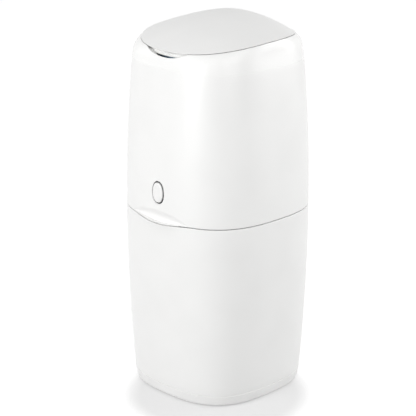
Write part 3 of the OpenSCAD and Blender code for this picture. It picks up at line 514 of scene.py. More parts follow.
# %% Lower bin
SEAL_LEDGE = 270.0
HINGE_BORE, KNUCKLE = 1.23, 3.2
HINGE_IN, HINGE_OUT = 12, 34


def lower_shape():
    outside = rounded([(60, PLINTH_Z, 0), (0, PLINTH_Z, 0.8), (0, LOWER_TOP, 0)])
    rings = [with_lip(body_ring(*p)) if p[0] < 2 else body_ring(*p) for p in outside[:-1]]
    edge = rounded([(0, LOWER_TOP - 3, 0), (0, LOWER_TOP, 0.9), (WALL, LOWER_TOP, 0.4), (WALL, LOWER_TOP - 1, 0)])
    rings += [with_lip(body_ring(*p)) for p in edge[:-1]]
    inside = rounded([(WALL, SEAL_LEDGE, 0), (RIM, SEAL_LEDGE, 0.5), (RIM, 250.4, 1.5), (WALL, 246.4, 1.5),
                      (WALL, PLINTH_Z + 3, 7), (60, PLINTH_Z + 3, 0)])
    rings += [body_ring(*p) for p in inside]
    return loft(rings)


def knuckles(low, high, z=SEAM_Z, y=HALF, radius=KNUCKLE, bore=HINGE_BORE):
    """Hinge knuckles along X, from low to high on one side and mirrored on the other."""
    sides = [(low, high)] if low == -high else [(low, high), (-high, -low)]
    return joined(*[tube((0, y, z), "x", bore, radius, a, b) for a, b in sides])


BASE_PLACE, FOOT_PLACE, SCREW_HOLE = 44, 68, 1.85
bosses = joined(*[tube((x, y, 0), "z", SCREW_HOLE, 5, 5.5, PLINTH_Z + 1, 0.2) for x, y in four(BASE_PLACE, BASE_PLACE)])
relief = block((-HINGE_IN, HALF - 3.4, SEAM_Z - 3.7), (HINGE_IN, HALF + 9, SEAM_Z + 9), 0.3)
piece("bin_shell", joined(carved(lower_shape(), relief), knuckles(HINGE_IN, HINGE_OUT), bosses), abs_white, "bin",
      "white_shell", "lower_shell")

# %% [markdown]
# ## The plinth
# A shallow tray under the bin. It curves in to the floor, and its top edge stands out a hair past the wall, which
# draws the fine line that shows above it. Its screw holes and the feet's pockets are cut by booleans.

# %% Plinth
def plinth_shape():
    low, top = 107.5, half_at(PLINTH_Z) + 0.4
    corners = [(60, 1.5, 0), (low, 1.5, 3.2), (low + 1.4, 9, 2), (top, PLINTH_Z - 0.1, 0.7),
               (top - WALL, PLINTH_Z - 0.1, 0.4), (low - WALL, 5.5, 1), (60, 5.5, 0)]
    return loft([np.column_stack([*plan(half, BASE_POWER), np.full(RING, z)]) for half, z in rounded(corners, 8)])


pockets = [rod((x, y, 0), "z", 9.1, 0, 3.5, 40) for x, y in four(FOOT_PLACE, FOOT_PLACE)]
holes = [rod((x, y, 0), "z", r, 0, h, 40) for x, y in four(BASE_PLACE, BASE_PLACE)
         for r, h in ((3.6, 3.5), (SCREW_HOLE, 9))]
piece("plinth", carved(plinth_shape(), joined(*pockets), *holes), abs_plinth, "bin", "white_base", "base_plinth")

# %% [markdown]
# ## The upper housing
# The largest moulding: it leans in towards the top, carries the deck on a ledge and the clamp under it, and its
# thick rim closes over the seal. The finger catch is a soft hollow above the front lip. A boolean would leave a
# hard rim round that hollow, so its rings are pushed in by a rule instead: a step in from the lip, a little deeper
# above it, and a long soft overhang. Only the button's hole is cut, with a cutter that flares at the face to round
# its edge.

# %% Finger catch
CATCH_HALF, CATCH_HIGH, CATCH_DEEP, CATCH_LIP, CATCH_WALL = 54.0, 20.0, 3.5, 1.4, 3.5
CATCH_START, CATCH_PEAK = 0.6, 0.3


def with_catch(points, behind=0.0):
    """Ring pushed in where the finger catch is; behind keeps the inner face that far behind it."""
    points = points.copy()
    x, z = points[:, 0], points[:, 2]
    narrow = np.clip(1 - (x / CATCH_HALF) ** 2, 1e-6, 1) ** 0.9
    face = -HALF * (1 - np.minimum(1, np.abs(x) / HALF) ** SEAM_POWER) ** (1 / SEAM_POWER)
    floor_z = UPPER_BASE - LIP_DIP * lip_share(points) + CATCH_LIP
    v = np.clip((z - floor_z) / (CATCH_HIGH * narrow), 0, 1)
    rise = CATCH_START + (1 - CATCH_START) * np.sin(np.pi / 2 * np.minimum(v / CATCH_PEAK, 1)) ** 2
    fall = 0.5 + 0.5 * np.cos(np.pi * np.clip((v - CATCH_PEAK) / (1 - CATCH_PEAK), 0, 1))
    deep = (CATCH_DEEP + 0.3) * narrow ** 0.7 * np.where(v < CATCH_PEAK, rise, fall)
    inside = (points[:, 1] < 0) & (np.abs(x) < CATCH_HALF) & (v > 0) & (v < 1)
    points[:, 1] = np.where(inside, np.maximum(points[:, 1], face - 0.3 + deep + behind), points[:, 1])
    return points


print("catch: %.0f mm wide, %.1f mm deep" % (2 * CATCH_HALF, CATCH_DEEP))

# %% Housing wall
SKIRT = WALL - 0.3
DECK_Z, LEDGE_Z, LEDGE_IN = 484.0, 481.0, 13.0


def upper_shape():
    low = rounded([(SKIRT, UPPER_BASE, 0), (0, UPPER_BASE, 0.9), (0, UPPER_BASE + 2, 0)])
    rings = []
    for inset, z in low[:-1]:
        swollen, dipped = with_lip(body_ring(inset, z)), with_lip(body_ring(inset, z))
        dipped[:, 1] = body_ring(inset, z)[:, 1]
        rings.append(swollen + (dipped - swollen) * inset / SKIRT)
    rings += [with_catch(with_lip(body_ring(0, z))) for z in np.arange(UPPER_BASE + 2, 296, 0.7)]
    high = rounded([(0, 297, 0), (0, CREASE_Z, 0.4), (WALL, CREASE_Z, 0.2), (WALL, DECK_Z, 0.3),
                    (LEDGE_IN, DECK_Z, 0.4), (LEDGE_IN, LEDGE_Z, 0.4), (WALL, LEDGE_Z - 10, 3), (WALL, 290, 0)])
    rings += [with_lip(body_ring(*p)) if p[0] == 0 else body_ring(*p) for p in high]
    rim = rounded([(WALL, 290, 0), (WALL, 289.6, 0), (RIM, 285.6, 0), (RIM, UPPER_BASE, 0.4),
                   (SKIRT, UPPER_BASE, 0)], longest=1.5)
    rings += [with_catch(body_ring(*p), CATCH_WALL) for p in rim[1:]]
    return loft(rings, closed=True)


print("housing wall:", len(upper_shape()[1]), "faces")


# %% Button hole, guide and fittings
BUTTON_W, BUTTON_H, BUTTON_GAP, BUTTON_Z = 19.2, 28.8, 2.0, 312.6
BUTTON_Y = -half_at(BUTTON_Z)
LEVER_Y, PIVOT_Z = BUTTON_Y + 2 + 18 + 3.5 + 0.3, BUTTON_Z + 33
SCREW_PLACE = (half_at(DECK_Z) - WALL - 5) * 0.5 ** (1 / COLLAR_POWER)


def ovals(places, closed=False):
    """Stack of upright ovals like the button's outline, each set in by an inset (or out, below 0) at a depth."""
    x, z = plan(1, 2.2, 96)
    return loft([np.column_stack([x * (BUTTON_W / 2 - inset), np.full(len(x), BUTTON_Y + y),
                                  BUTTON_Z + z * (BUTTON_H / 2 - inset)]) for inset, y in places], closed)


hole = ovals([(-BUTTON_GAP - flare, y)
              for flare, y in ((1.6, -2), (0.75, -0.1), (0.35, 0.2), (0.1, 0.6), (0, 1), (0, 6))])
guide = carved(ovals([(-BUTTON_GAP - 2, y) for y in (1.5, 20)]), ovals([(-BUTTON_GAP, y) for y in (0, 17)]),
               rod((0, BUTTON_Y, BUTTON_Z), "y", 4.03, 0, 30))
ears = [carved(block((x - 1.5, -half_at(PIVOT_Z) + 2, PIVOT_Z - 7), (x + 1.5, LEVER_Y + 7, PIVOT_Z + 7)),
               rod((0, LEVER_Y + 2, PIVOT_Z), "x", 2.03, -30, 30)) for x in (-12, 12)]
MIDDLE_OUT = HINGE_IN - 0.5
reliefs = [block((low, HALF - 3.7, 262), (low + 23, HALF + 9, SEAM_Z + 3.7), 0.3)
           for low in (MIDDLE_OUT, -HINGE_OUT - 0.5)]
screw_holes = [rod((x, y, 0), "z", r, a, b, 40) for x, y in four(SCREW_PLACE, SCREW_PLACE)
               for r, a, b in ((SCREW_HOLE, LEDGE_Z - 4, DECK_Z + 2), (3.9, LEDGE_Z - 14, LEDGE_Z))]
piece("housing_shell", joined(carved(upper_shape(), hole, *reliefs, *screw_holes), guide, *ears,
                              knuckles(-MIDDLE_OUT, MIDDLE_OUT)), abs_white, "housing", "white_shell", "upper_shell")

# %% [markdown]
# ## The push button
# A crowned oval cap that stands a little proud of its hole. A black rubber ring fills the gap and keeps the damp
# out, and it is what draws the button's dark outline: its black is partly a real seal and partly stands in for the
# shade deep in the gap. A line drawn in the material would not move with the cap, so the ring is a piece of its
# own. Cap and ring are stacks of ovals that shrink over rounded edges.

# %% Button
cap_profile = [(2, 7.5), (0.3, 7.5), (0, 7.1), (0, -0.4), (0.08, -0.8), (0.3, -1.1), (0.7, -1.3), (1.4, -1.45),
               (3, -1.6), (5, -1.7), (7, -1.75), (9.3, -1.77)]
stem = turned(rounded([(0, 1, 0), (4, 1, 0), (4, 19.5, 0.3), (2.2, 19.5, 0.2), (2.2, 23.5, 0.5), (0, 23.5, 0)], 3, 30),
              (0, BUTTON_Y, BUTTON_Z), "y")
piece("push_button", joined(ovals(cap_profile), stem), abs_white, "button", "white_shell", "button_cap")

# %% Button seal
ring_profile = [(-0.3, 3.4), (-0.3, 0.8), (-0.5, 0.4), (-0.9, 0.25), (-1.5, 0.25), (-1.85, 0.45), (-1.98, 0.9),
                (-1.98, 3.4)]
# The ring's black partly stands in for the shade in the button's gap
piece("button_seal_ring", ovals(ring_profile, closed=True), rubber_black, "housing", "soft_lip", "button_seal")

# %% [markdown]
# ## The top collar
# A ring that finishes the housing. Its shoulder turns from the housing's squarer plan to the lid's rounder one,
# so each ring is mixed from the two by a Bezier share. The lid's edge follows an arc seen from the side, and the
# collar follows it too. The finger scoop is a pocket under the lid's front edge: a shallow arc is cut through the
# skin, and behind that thin lip the hollow goes deeper and runs back under the lid's skirt.

# %% Seat of the lid
COLLAR_HALF = half_at(CREASE_Z)
LID_HALF = COLLAR_HALF - 4.7
OPENING = LID_HALF - 6
LID_POWER = 2.36
ARC_RISE, ARC_MIDDLE, ARC_RADIUS = 37.2, 24.5, 604
COLLAR_SLOPE = 0.105


def seat_at(y):
    """Height of the lid's edge, an arc seen from the side."""
    return CREASE_Z + ARC_RISE - (y - ARC_MIDDLE) ** 2 / (2 * ARC_RADIUS)


def seat_ring(half, up, power=LID_POWER):
    x, y = plan(half, power)
    return np.column_stack([x, y, seat_at(y) + up])


def bent(low, bend, high, shares):
    """Rings between two others along a Bezier curve, pulled towards a third."""
    return [(1 - s) ** 2 * low + 2 * s * (1 - s) * bend + s * s * high for s in shares]


def shoulder():
    """Rings of the collar's outside, from the crease up to the edge beside the lid."""
    edge = seat_ring(LID_HALF + 0.6, 0)
    low_z = edge[:, 2] - 15
    x, y = plan(1, COLLAR_POWER)
    reach = COLLAR_HALF - (low_z - CREASE_Z) * COLLAR_SLOPE
    low = np.column_stack([x * reach, y * reach, low_z])
    bend = low + (edge - low) * 0.22
    bend[:, 2] = edge[:, 2] - 5.5
    foot = np.column_stack([x * COLLAR_HALF, y * COLLAR_HALF, np.full(RING, CREASE_Z)])
    rings = [foot + (low - foot) * s for s in np.linspace(0, 1, 4)[:-1]]
    curve = bent(low, bend, edge, np.linspace(0, 0.93, 15))
    return rings + curve + bent(curve[-1], edge, seat_ring(LID_HALF + 0.5, -0.9), (0.3, 0.55, 0.8, 1))


print("seat height at the front and rear:", round(seat_at(-LID_HALF), 1), round(seat_at(LID_HALF), 1))


# %% Collar
LID_AXIS = (LID_HALF + 3.6, seat_at(LID_HALF) - 1.2)
LID_BORE, LID_KNUCKLE, LID_IN, LID_OUT = 1.03, 3.4, 10.7, 22.7
TONGUE = COLLAR_HALF - WALL - 0.3


def collar_shape():
    inner_wall = seat_ring(TONGUE - 3.2, -13, COLLAR_POWER)
    rings = shoulder() + [seat_ring(LID_HALF + 0.5, -4.5), seat_ring(LID_HALF, -5), seat_ring(OPENING + 0.4, -5),
                          seat_ring(OPENING, -5.4), seat_ring(OPENING, -7.5), inner_wall]
    x, y = plan(1, COLLAR_POWER)
    rings += [np.column_stack([x * h, y * h, np.full(RING, z)])
              for h, z in ((TONGUE - 2.6, CREASE_Z - 1), (TONGUE, CREASE_Z - 1), (TONGUE, CREASE_Z))]
    return loft(rings, closed=True)


SCOOP_HALF, SCOOP_DEEP = 43.0, 8.6


def scoop():
    """Cutter of the finger scoop, a section at each x: open in front of a thin lip, and deeper behind it."""
    sections = []
    for x in np.linspace(-SCOOP_HALF, SCOOP_HALF, 45):
        edge_y = -(LID_HALF ** LID_POWER - abs(x) ** LID_POWER) ** (1 / LID_POWER)
        share = max(0.0, 1 - (x / SCOOP_HALF) ** 2)
        high, low = seat_at(edge_y) + 3, seat_at(edge_y) - SCOOP_DEEP * share - 0.1
        bottom, skin, rear = low - 3 * share ** 0.5 - 0.1, edge_y - 1.5 * share + 0.2, edge_y + 3.4 + 2 * share
        sections.append(np.array([(x, y, z) for y, z in ((-HALF, high), (-HALF, low), (skin, low), (skin, bottom),
                                                         (rear, bottom), (edge_y + 3.4, high))]))
    return loft(sections)


notch = block((-LID_IN, 93, LID_AXIS[1] - 3.9), (LID_IN, HALF, LID_AXIS[1] + 15), 0.3)
webs = [block((low, LID_HALF + 0.8, LID_AXIS[1] - 11), (low + 12, LID_AXIS[0], LID_AXIS[1]), 0.3)
        for low in (-LID_OUT, LID_IN)]
collar_bosses = [tube((x, y, 0), "z", SCREW_HOLE, 5, CREASE_Z - 1, CREASE_Z + 12, 0.2)
                 for x, y in four(SCREW_PLACE, SCREW_PLACE)]
lid_knuckles = knuckles(LID_IN, LID_OUT, LID_AXIS[1], LID_AXIS[0], LID_KNUCKLE, LID_BORE)
# The collar's brighter white is painted light on the shoulder above the crease
piece("collar", joined(carved(collar_shape(), scoop(), notch), lid_knuckles, *webs, *collar_bosses), abs_painted_brighter,
      "housing", "white_shell", "top_collar")

# %% [markdown]
# ## The domed lid
# Thin, and curved in two directions: its edge follows the collar's arc and its crest lies towards the rear, so the
# front runs down in a long slope to the finger scoop. It is a stack of rings from the crest out to a thin lip that
# hangs a hair over the collar, in under that lip, down the skirt and back up inside, where four bosses hold the
# liner. The gap under the lip is real, because its shadow draws the lid's fine dark outline.

# %% Lid
LID_WALL, SKIRT_H, DOME, CREST_BACK = 2.6, 4.4, 25.9, 25.7
LIP_UP, LIP_OVER, LIP_EDGE = 0.32, 0.8, 0.9
SKIRT_DEEPER, SKIRT_TUCK, TUCK_HALF = 3.6, 2.6, 40
LINER_TOP = 511.0


def lid_ring(share, down=0.0):
    """Ring of the dome: share 0 is the crest and 1 the edge."""
    x, y = plan(LID_HALF * share, LID_POWER)
    y = y + CREST_BACK * (1 - share ** 1.5)
    return np.column_stack([x, y, seat_at(y) + LIP_EDGE + DOME * (1 - share ** 1.6) - down])


def skirt_foot(inset, z):
    """Ring of the skirt's foot, lower and farther back at the middle of the front, above the scoop."""
    ring = seat_ring(LID_HALF - 5 - inset, z)
    middle = np.where(ring[:, 1] < 0, np.clip(1 - (ring[:, 0] / TUCK_HALF) ** 2, 0, 1), 0)
    return ring + np.outer(middle, (0, SKIRT_TUCK, -SKIRT_DEEPER))


def lid_shape():
    inside = [lid_ring(s, LID_WALL) for s in np.linspace(0.02, 0.95, 20)]
    skirt = [skirt_foot(1.5, -SKIRT_H + 0.4), skirt_foot(1.2, -SKIRT_H), skirt_foot(0.2, -SKIRT_H),
             skirt_foot(0, -SKIRT_H + 0.3)]
    under = [seat_ring(LID_HALF - 1.6, LIP_UP - 0.4), seat_ring(LID_HALF - 1.1, LIP_UP),
             seat_ring(LID_HALF + LIP_OVER - 0.2, LIP_UP)]
    edge = bent(seat_ring(LID_HALF + LIP_OVER, LIP_UP + 0.12), seat_ring(LID_HALF + LIP_OVER, LIP_EDGE),
                lid_ring(0.985), np.linspace(0, 1, 7))
    outside = [lid_ring(s) for s in np.linspace(0.97, 0.02, 40)]
    return loft(inside + [seat_ring(LID_HALF - 5.2, -0.5)] + skirt + under + edge + outside)


def lid_bosses_at():
    """Places of the liner's screws: half way out on each diagonal, up to the dome."""
    reach, back = LID_HALF * 0.5 * 0.5 ** (1 / LID_POWER), CREST_BACK * (1 - 0.5 ** 1.5)
    return [(x, y + back, seat_at(y + back) + LIP_EDGE + DOME * (1 - 0.5 ** 1.6)) for x, y in four(reach, reach)]


lid_bosses = [tube((x, y, 0), "z", 1.35, 4, LINER_TOP, z - 1.3, 0.2) for x, y, z in lid_bosses_at()]
lid_pin_hole = rod((0, *LID_AXIS), "x", LID_BORE, -20, 20)
tab = LID_IN - 0.5
lid_web = block((-tab, LID_HALF - 2, LID_AXIS[1] - 1), (tab, LID_AXIS[0], LID_AXIS[1] + LID_KNUCKLE), 0.5)
lid_knuckle = carved(tube((0, *LID_AXIS), "x", 0.5, LID_KNUCKLE, -tab, tab), lid_pin_hole)
piece("lid", joined(lid_shape(), carved(lid_web, lid_pin_hole), lid_knuckle, *lid_bosses), abs_white, "lid",
      "white_shell", "lid_cover")

# %% [markdown]
# ## Trees of geometry nodes
# The small parts repeat: the same kind of screw sits in twenty places, a spring is one wire wound by a rule, and
# the seal is one section run along a path. Copying them in a loop would work, but as Geometry Nodes each is one
# tree with its sizes as named inputs, so that a pitch or a count can be changed later. Each result is turned into a
# plain mesh, because a bin body carries meshes and not instances.

# %% Helpers for a tree
MATH, VECTORS = "ShaderNodeMath", "ShaderNodeVectorMath"  # the kinds of node that the trees use most
NO_TURN = (0.0, 0.0, 0.0)


def new_tree(name, **inputs):
    """Geometry tree with a geometry input and named inputs, which come back as (node, output) pairs by name."""
    tree = bpy.data.node_groups.new(name, "GeometryNodeTree")
    tree.interface.new_socket("Geometry", in_out="INPUT", socket_type="NodeSocketGeometry")
    for label, value in inputs.items():
        kind = {int: "NodeSocketInt", tuple: "NodeSocketVector", str: value}.get(type(value), "NodeSocketFloat")
        socket = tree.interface.new_socket(label, in_out="INPUT", socket_type=kind)
        if not isinstance(value, str):
            socket.default_value = value
    tree.interface.new_socket("Geometry", in_out="OUTPUT", socket_type="NodeSocketGeometry")
    group = node(tree, "NodeGroupInput")
    return tree, {label: (group, label) for label in ("Geometry", *inputs)}


def closed_off(tree, shape, given):
    """Ends a tree: instances made real, material set."""
    real = node(tree, "GeometryNodeRealizeInstances", {"Geometry": shape})
    dressed = node(tree, "GeometryNodeSetMaterial", {"Geometry": real, "Material": given["Material"]})
    node(tree, "NodeGroupOutput", {"Geometry": dressed})
    return tree


def set_out(tree, shape, given):
    """Ends a tree with its shape at each given point, turned if it has a Turn."""
    turn = {"Rotation": given["Turn"]} if "Turn" in given else {}
    feeds = {"Points": given["Geometry"], "Instance": shape, **turn}
    return closed_off(tree, node(tree, "GeometryNodeInstanceOnPoints", feeds), given)


def grown(tree, points, edges=(), **values):
    """Plain mesh that a tree makes from points in millimetres and its named values."""
    mesh = bpy.data.meshes.new("start")
    mesh.from_pydata(np.asarray(points, float) * MM, edges, [])
    host = linked("start", mesh)
    made = host.modifiers.new("nodes", "NODES")
    made.node_group = tree
    sockets = {s.name: s.identifier for s in tree.interface.items_tree if s.in_out == "INPUT"}
    for label, value in values.items():
        made[sockets[label]] = value
    return evaluated_mesh(host)


print("helpers ready; trees so far:", len(bpy.data.node_groups))

# %% [markdown]
# ## Screws
# Small pan-head screws with a cross recess, made by heading and thread-rolling wire. The head is a ball pressed
# into a rounded disc, less two crossed bars. The thread is a fine tube whose radius swells along a helix. Both
# follow rules, so the tree makes one screw and sets it at each place.

# %% Screw tree
def screw_tree():
    tree, given = new_tree("screws_at_places", Head=0.0035, Rise=0.002, Shank=0.00175, Length=0.012, Pitch=0.0012,
                           Turn=NO_TURN, Material="NodeSocketMaterial")
    where = node(tree, "GeometryNodeInputPosition")
    axes = node(tree, "ShaderNodeSeparateXYZ", {"Vector": where})
    # Head: a ball whose points move out to a squarer section
    ball = node(tree, "GeometryNodeMeshUVSphere", {"Segments": 24, "Rings": 14, "Radius": 1.0})
    squares = [node(tree, MATH, [(axes, axis), 2.0], operation="POWER") for axis in "XY"]
    flat = node(tree, MATH, [node(tree, MATH, squares, operation="ADD")], operation="SQRT")
    tall = node(tree, MATH, [(axes, "Z")], operation="ABSOLUTE")
    fifths = [node(tree, MATH, [side, 5.0], operation="POWER") for side in (flat, tall)]
    size = node(tree, MATH, [node(tree, MATH, fifths, operation="ADD"), -0.2], operation="POWER")
    squarer = node(tree, VECTORS, {0: where, "Scale": size}, operation="SCALE")
    disc = node(tree, "GeometryNodeSetPosition", {"Geometry": ball, "Position": squarer})
    half_rise = node(tree, MATH, [given["Rise"], 0.5], operation="MULTIPLY")
    disc_size = node(tree, "ShaderNodeCombineXYZ", [given["Head"], given["Head"], half_rise])
    disc_place = node(tree, "ShaderNodeCombineXYZ", {"Z": half_rise})
    head = node(tree, "GeometryNodeTransform", {"Geometry": disc, "Translation": disc_place, "Scale": disc_size})
    # Cross recess
    recess = node(tree, "GeometryNodeMeshBoolean", {"Mesh 1": head}, operation="DIFFERENCE")
    long_side, short_side = (node(tree, MATH, [given["Head"], share], operation="MULTIPLY") for share in (1.1, 0.24))
    for x, y in ((long_side, short_side), (short_side, long_side)):
        bar_size = node(tree, "ShaderNodeCombineXYZ", [x, y, given["Rise"]])
        bar = node(tree, "GeometryNodeMeshCube", {"Size": bar_size})
        tree.links.new(bar.outputs["Mesh"], recess.inputs["Mesh 2"])
    # Shank: the radius swells where the helix passes
    pitches = node(tree, MATH, [given["Length"], given["Pitch"]], operation="DIVIDE")
    steps = node(tree, MATH, [pitches, 6.0], operation="MULTIPLY")
    wire = node(tree, "GeometryNodeMeshCylinder", {"Vertices": 14, "Side Segments": steps, "Radius": given["Shank"],
                                                   "Depth": given["Length"]})
    angle = node(tree, MATH, [(axes, "Y"), (axes, "X")], operation="ARCTAN2")
    risen = node(tree, MATH, [(axes, "Z"), given["Pitch"]], operation="DIVIDE")
    climb = node(tree, MATH, [risen, 2 * math.pi], operation="MULTIPLY")
    lag = node(tree, MATH, [climb, angle], operation="SUBTRACT")
    swell = node(tree, MATH, [node(tree, MATH, [lag], operation="COSINE"), 0.11, 0.89], operation="MULTIPLY_ADD")
    thread_size = node(tree, "ShaderNodeCombineXYZ", [swell, swell, 1.0])
    swollen = node(tree, VECTORS, [where, thread_size], operation="MULTIPLY")
    thread = node(tree, "GeometryNodeSetPosition", {"Geometry": wire, "Position": swollen})
    half_length = node(tree, MATH, [given["Length"], 0.5], operation="MULTIPLY")
    shank_z = node(tree, MATH, [half_length, half_rise], operation="ADD")
    shank_place = node(tree, "ShaderNodeCombineXYZ", {"Z": shank_z})
    shank = node(tree, "GeometryNodeTransform", {"Geometry": thread, "Translation": shank_place})
    whole = node(tree, "GeometryNodeJoinGeometry", {"Geometry": shank})
    tree.links.new(recess.outputs["Mesh"], whole.inputs["Geometry"])
    return set_out(tree, whole, given)


screws_at_places = screw_tree()
BIG, SMALL = dict(Head=0.0035, Rise=0.002, Shank=0.00175), dict(Head=0.0024, Rise=0.0014, Shank=0.00125, Pitch=0.0009)
print("screw tree:", len(screws_at_places.nodes), "nodes")


# %% Put the screws in
def screws(name, body, places, length, kind, turn=NO_TURN):
    """Screws of one body; places are the undersides of their heads' crowns, and length runs from there."""
    mesh = grown(screws_at_places, places, Length=(length - kind["Rise"] / MM / 2) * MM, Turn=turn,
                 Material=zinc_plated, **kind)
    return piece(name + "_threaded", mesh, zinc_plated, body, "steel", name, sharp=50)


CATCH_BACK, CLAMP_Z, CUTTER_Z = -112.696, 458.0, 449.0
PIVOT_X, PIVOT_Y = -74.055, -57.0
BLADE_START, BLADE_LONG = 24.0, 80.0
BLADE_SCREWS = [PIVOT_X + BLADE_START + BLADE_LONG * s for s in (0.2, 0.8)]
screws("base_screws", "bin", four(BASE_PLACE, BASE_PLACE, 1.5), 12, BIG)
screws("catch_screws", "bin", [(x, CATCH_BACK + 2.6, 259) for x in (-5, 5)], 7.6, SMALL, (math.pi / 2, 0.0, 0.0))
screws("deck_screws", "housing", four(SCREW_PLACE, SCREW_PLACE, LEDGE_Z - 2), 16, BIG)
screws("clamp_screws", "housing", four(55.075, 58, CLAMP_Z), 27.4, BIG)
screws("blade_screws", "cutter", [(x, PIVOT_Y, CUTTER_Z - 2.2) for x in BLADE_SCREWS], 6.7, SMALL)
screws("lid_screws", "lid", [(x, y, LINER_TOP - 2.5 - 1.4) for x, y, _ in lid_bosses_at()], 11.9, SMALL)

# %% [markdown]
# ## Coil springs
# Five springs of drawn wire: one behind the button and two behind each jaw. A spring's ends are wound close, so
# that they stand flat, and its middle is open. A screw modifier would give an even pitch only, so a tree moves
# the points of a line on to a helix whose climb slows at both ends, and sweeps a round wire along it.

# %% Spring tree
def spring_tree():
    tree, given = new_tree("closed_end_spring", Radius=0.005, Wire=0.0006, Length=0.04, Turns=12.0, Dead=1.2,
                           Turn=NO_TURN, Material="NodeSocketMaterial")
    count = node(tree, MATH, [given["Turns"], 20.0], operation="MULTIPLY")
    line = node(tree, "GeometryNodeCurvePrimitiveLine", {"End": (0.0, 0.0, 1.0)})
    fine = node(tree, "GeometryNodeResampleCurve", {"Curve": line, "Count": count})
    share = node(tree, "GeometryNodeSplineParameter")
    wound = node(tree, MATH, [share, given["Turns"]], operation="MULTIPLY")
    angle = node(tree, MATH, [wound, 2 * math.pi], operation="MULTIPLY")
    x, y = (node(tree, MATH, [node(tree, MATH, [angle], operation=wave), given["Radius"]], operation="MULTIPLY")
            for wave in ("COSINE", "SINE"))
    # Ends: each dead coil climbs by one wire
    wire = node(tree, MATH, [given["Wire"], 2.0], operation="MULTIPLY")
    dead = node(tree, MATH, [given["Dead"], given["Turns"]], operation="DIVIDE")
    first = node(tree, MATH, [node(tree, MATH, [share, dead], operation="DIVIDE"), 1.0], operation="MINIMUM")
    late = node(tree, MATH, [node(tree, MATH, [share, dead], operation="ADD"), 1.0], operation="SUBTRACT")
    last = node(tree, MATH, [node(tree, MATH, [late, dead], operation="DIVIDE"), 0.0], operation="MAXIMUM")
    ends = node(tree, MATH, [node(tree, MATH, [first, last], operation="ADD"), wire], operation="MULTIPLY")
    # Middle: the rest of the length
    inner = node(tree, MATH, [share, dead], operation="SUBTRACT")
    both = node(tree, MATH, [dead, 2.0], operation="MULTIPLY")
    between = node(tree, MATH, [1.0, both], operation="SUBTRACT")
    open_share = node(tree, MATH, [inner, between], operation="DIVIDE")
    above = node(tree, MATH, [open_share, 0.0], operation="MAXIMUM")
    middle = node(tree, MATH, [above, 1.0], operation="MINIMUM")
    closed = node(tree, MATH, [wire, 3.0], operation="MULTIPLY")
    rest = node(tree, MATH, [given["Length"], closed], operation="SUBTRACT")
    run = node(tree, MATH, [middle, rest], operation="MULTIPLY")
    climb = node(tree, MATH, [node(tree, MATH, [ends, run], operation="ADD"), given["Wire"]], operation="ADD")
    place = node(tree, "ShaderNodeCombineXYZ", [x, y, climb])
    helix = node(tree, "GeometryNodeSetPosition", {"Geometry": fine, "Position": place})
    section = node(tree, "GeometryNodeCurvePrimitiveCircle", {"Resolution": 8, "Radius": given["Wire"]})
    swept = node(tree, "GeometryNodeCurveToMesh", {"Fill Caps": True, "Curve": helix, "Profile Curve": section})
    return set_out(tree, swept, given)


closed_end_spring = spring_tree()


def spring(name, places, turn, radius, wire, length, turns):
    mesh = grown(closed_end_spring, places, Radius=(radius - wire / 2) * MM, Wire=wire / 2 * MM, Length=length * MM,
                 Turns=float(turns), Turn=turn, Material=spring_wire)
    return piece(name + "_coil", mesh, spring_wire, "housing", "steel", name, sharp=60)


FRAME_INNER, JAW_BACK, JAW_Z, SPRING_Y = 82.055, 36.055, 460.9, 35.0
button_coil = spring("button_spring", [(0, BUTTON_Y + 7.5, BUTTON_Z)], (-math.pi / 2, 0.0, 0.0), 5.8, 1.1, 9.5, 4.5)
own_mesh(button_coil)
for side, sign in (("left", -1), ("right", 1)):
    coils = spring("jaw_springs_" + side, [(sign * JAW_BACK, y, JAW_Z + 10) for y in (-SPRING_Y, SPRING_Y)],
                   (0.0, sign * math.pi / 2, 0.0), 5, 1.2, FRAME_INNER - JAW_BACK, 10)
    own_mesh(coils)
print("springs: the jaws' are", round(FRAME_INNER - JAW_BACK, 1), "mm long at rest")

# %% [markdown]
# ## Pins
# Drawn rod cut to length, with its ends chamfered so that it starts into its knuckles. Each is a turned shape.

# %% Pins
def pin(name, body, centre, axis, radius, low, high, head=None):
    """Rod with chamfered ends; head is the radius and height of a flat head at its low end."""
    foot = [(0, low, 0), (radius, low, 0.4)]
    if head:
        foot = [(0, low, 0), (head[0], low, 0.5), (head[0], low + head[1], 0.4), (radius, low + head[1], 0.2)]
    profile = rounded(foot + [(radius, high, 0.4), (0, high, 0)], 3, 60)
    return piece(name + "_rod", turned(profile, centre, axis, 32), pin_steel, body, "steel", name)


pin("main_hinge_pin", "bin", (0, HALF, SEAM_Z), "x", 1.2, -HINGE_OUT, HINGE_OUT)
pin("lid_hinge_pin", "housing", (0, *LID_AXIS), "x", 1, -LID_OUT, LID_OUT)
pin("latch_pin", "housing", (0, LEVER_Y + 2, PIVOT_Z), "x", 2, -13.5, 13.5)
pin("cutter_pin", "housing", (PIVOT_X, PIVOT_Y, 0), "z", 2.5, CUTTER_Z - 3, CUTTER_Z + 20.5, (5, 2.7))

# %% [markdown]
# ## Feet and seals
# The feet are moulded rubber discs with grooved soles, pressed into the plinth's pockets. One foot is turned, and
# a tree sets it at the four pockets. The seal in the bin's rim is an extruded rubber section pushed into its
# groove, so its tree sweeps a rounded section along the rim's own path.

# %% Feet
def copies_tree():
    tree, given = new_tree("copies_at_places", Piece="NodeSocketObject", Material="NodeSocketMaterial")
    part = node(tree, "GeometryNodeObjectInfo", {"As Instance": False, "Object": given["Piece"]})
    return set_out(tree, (part, "Geometry"), given)


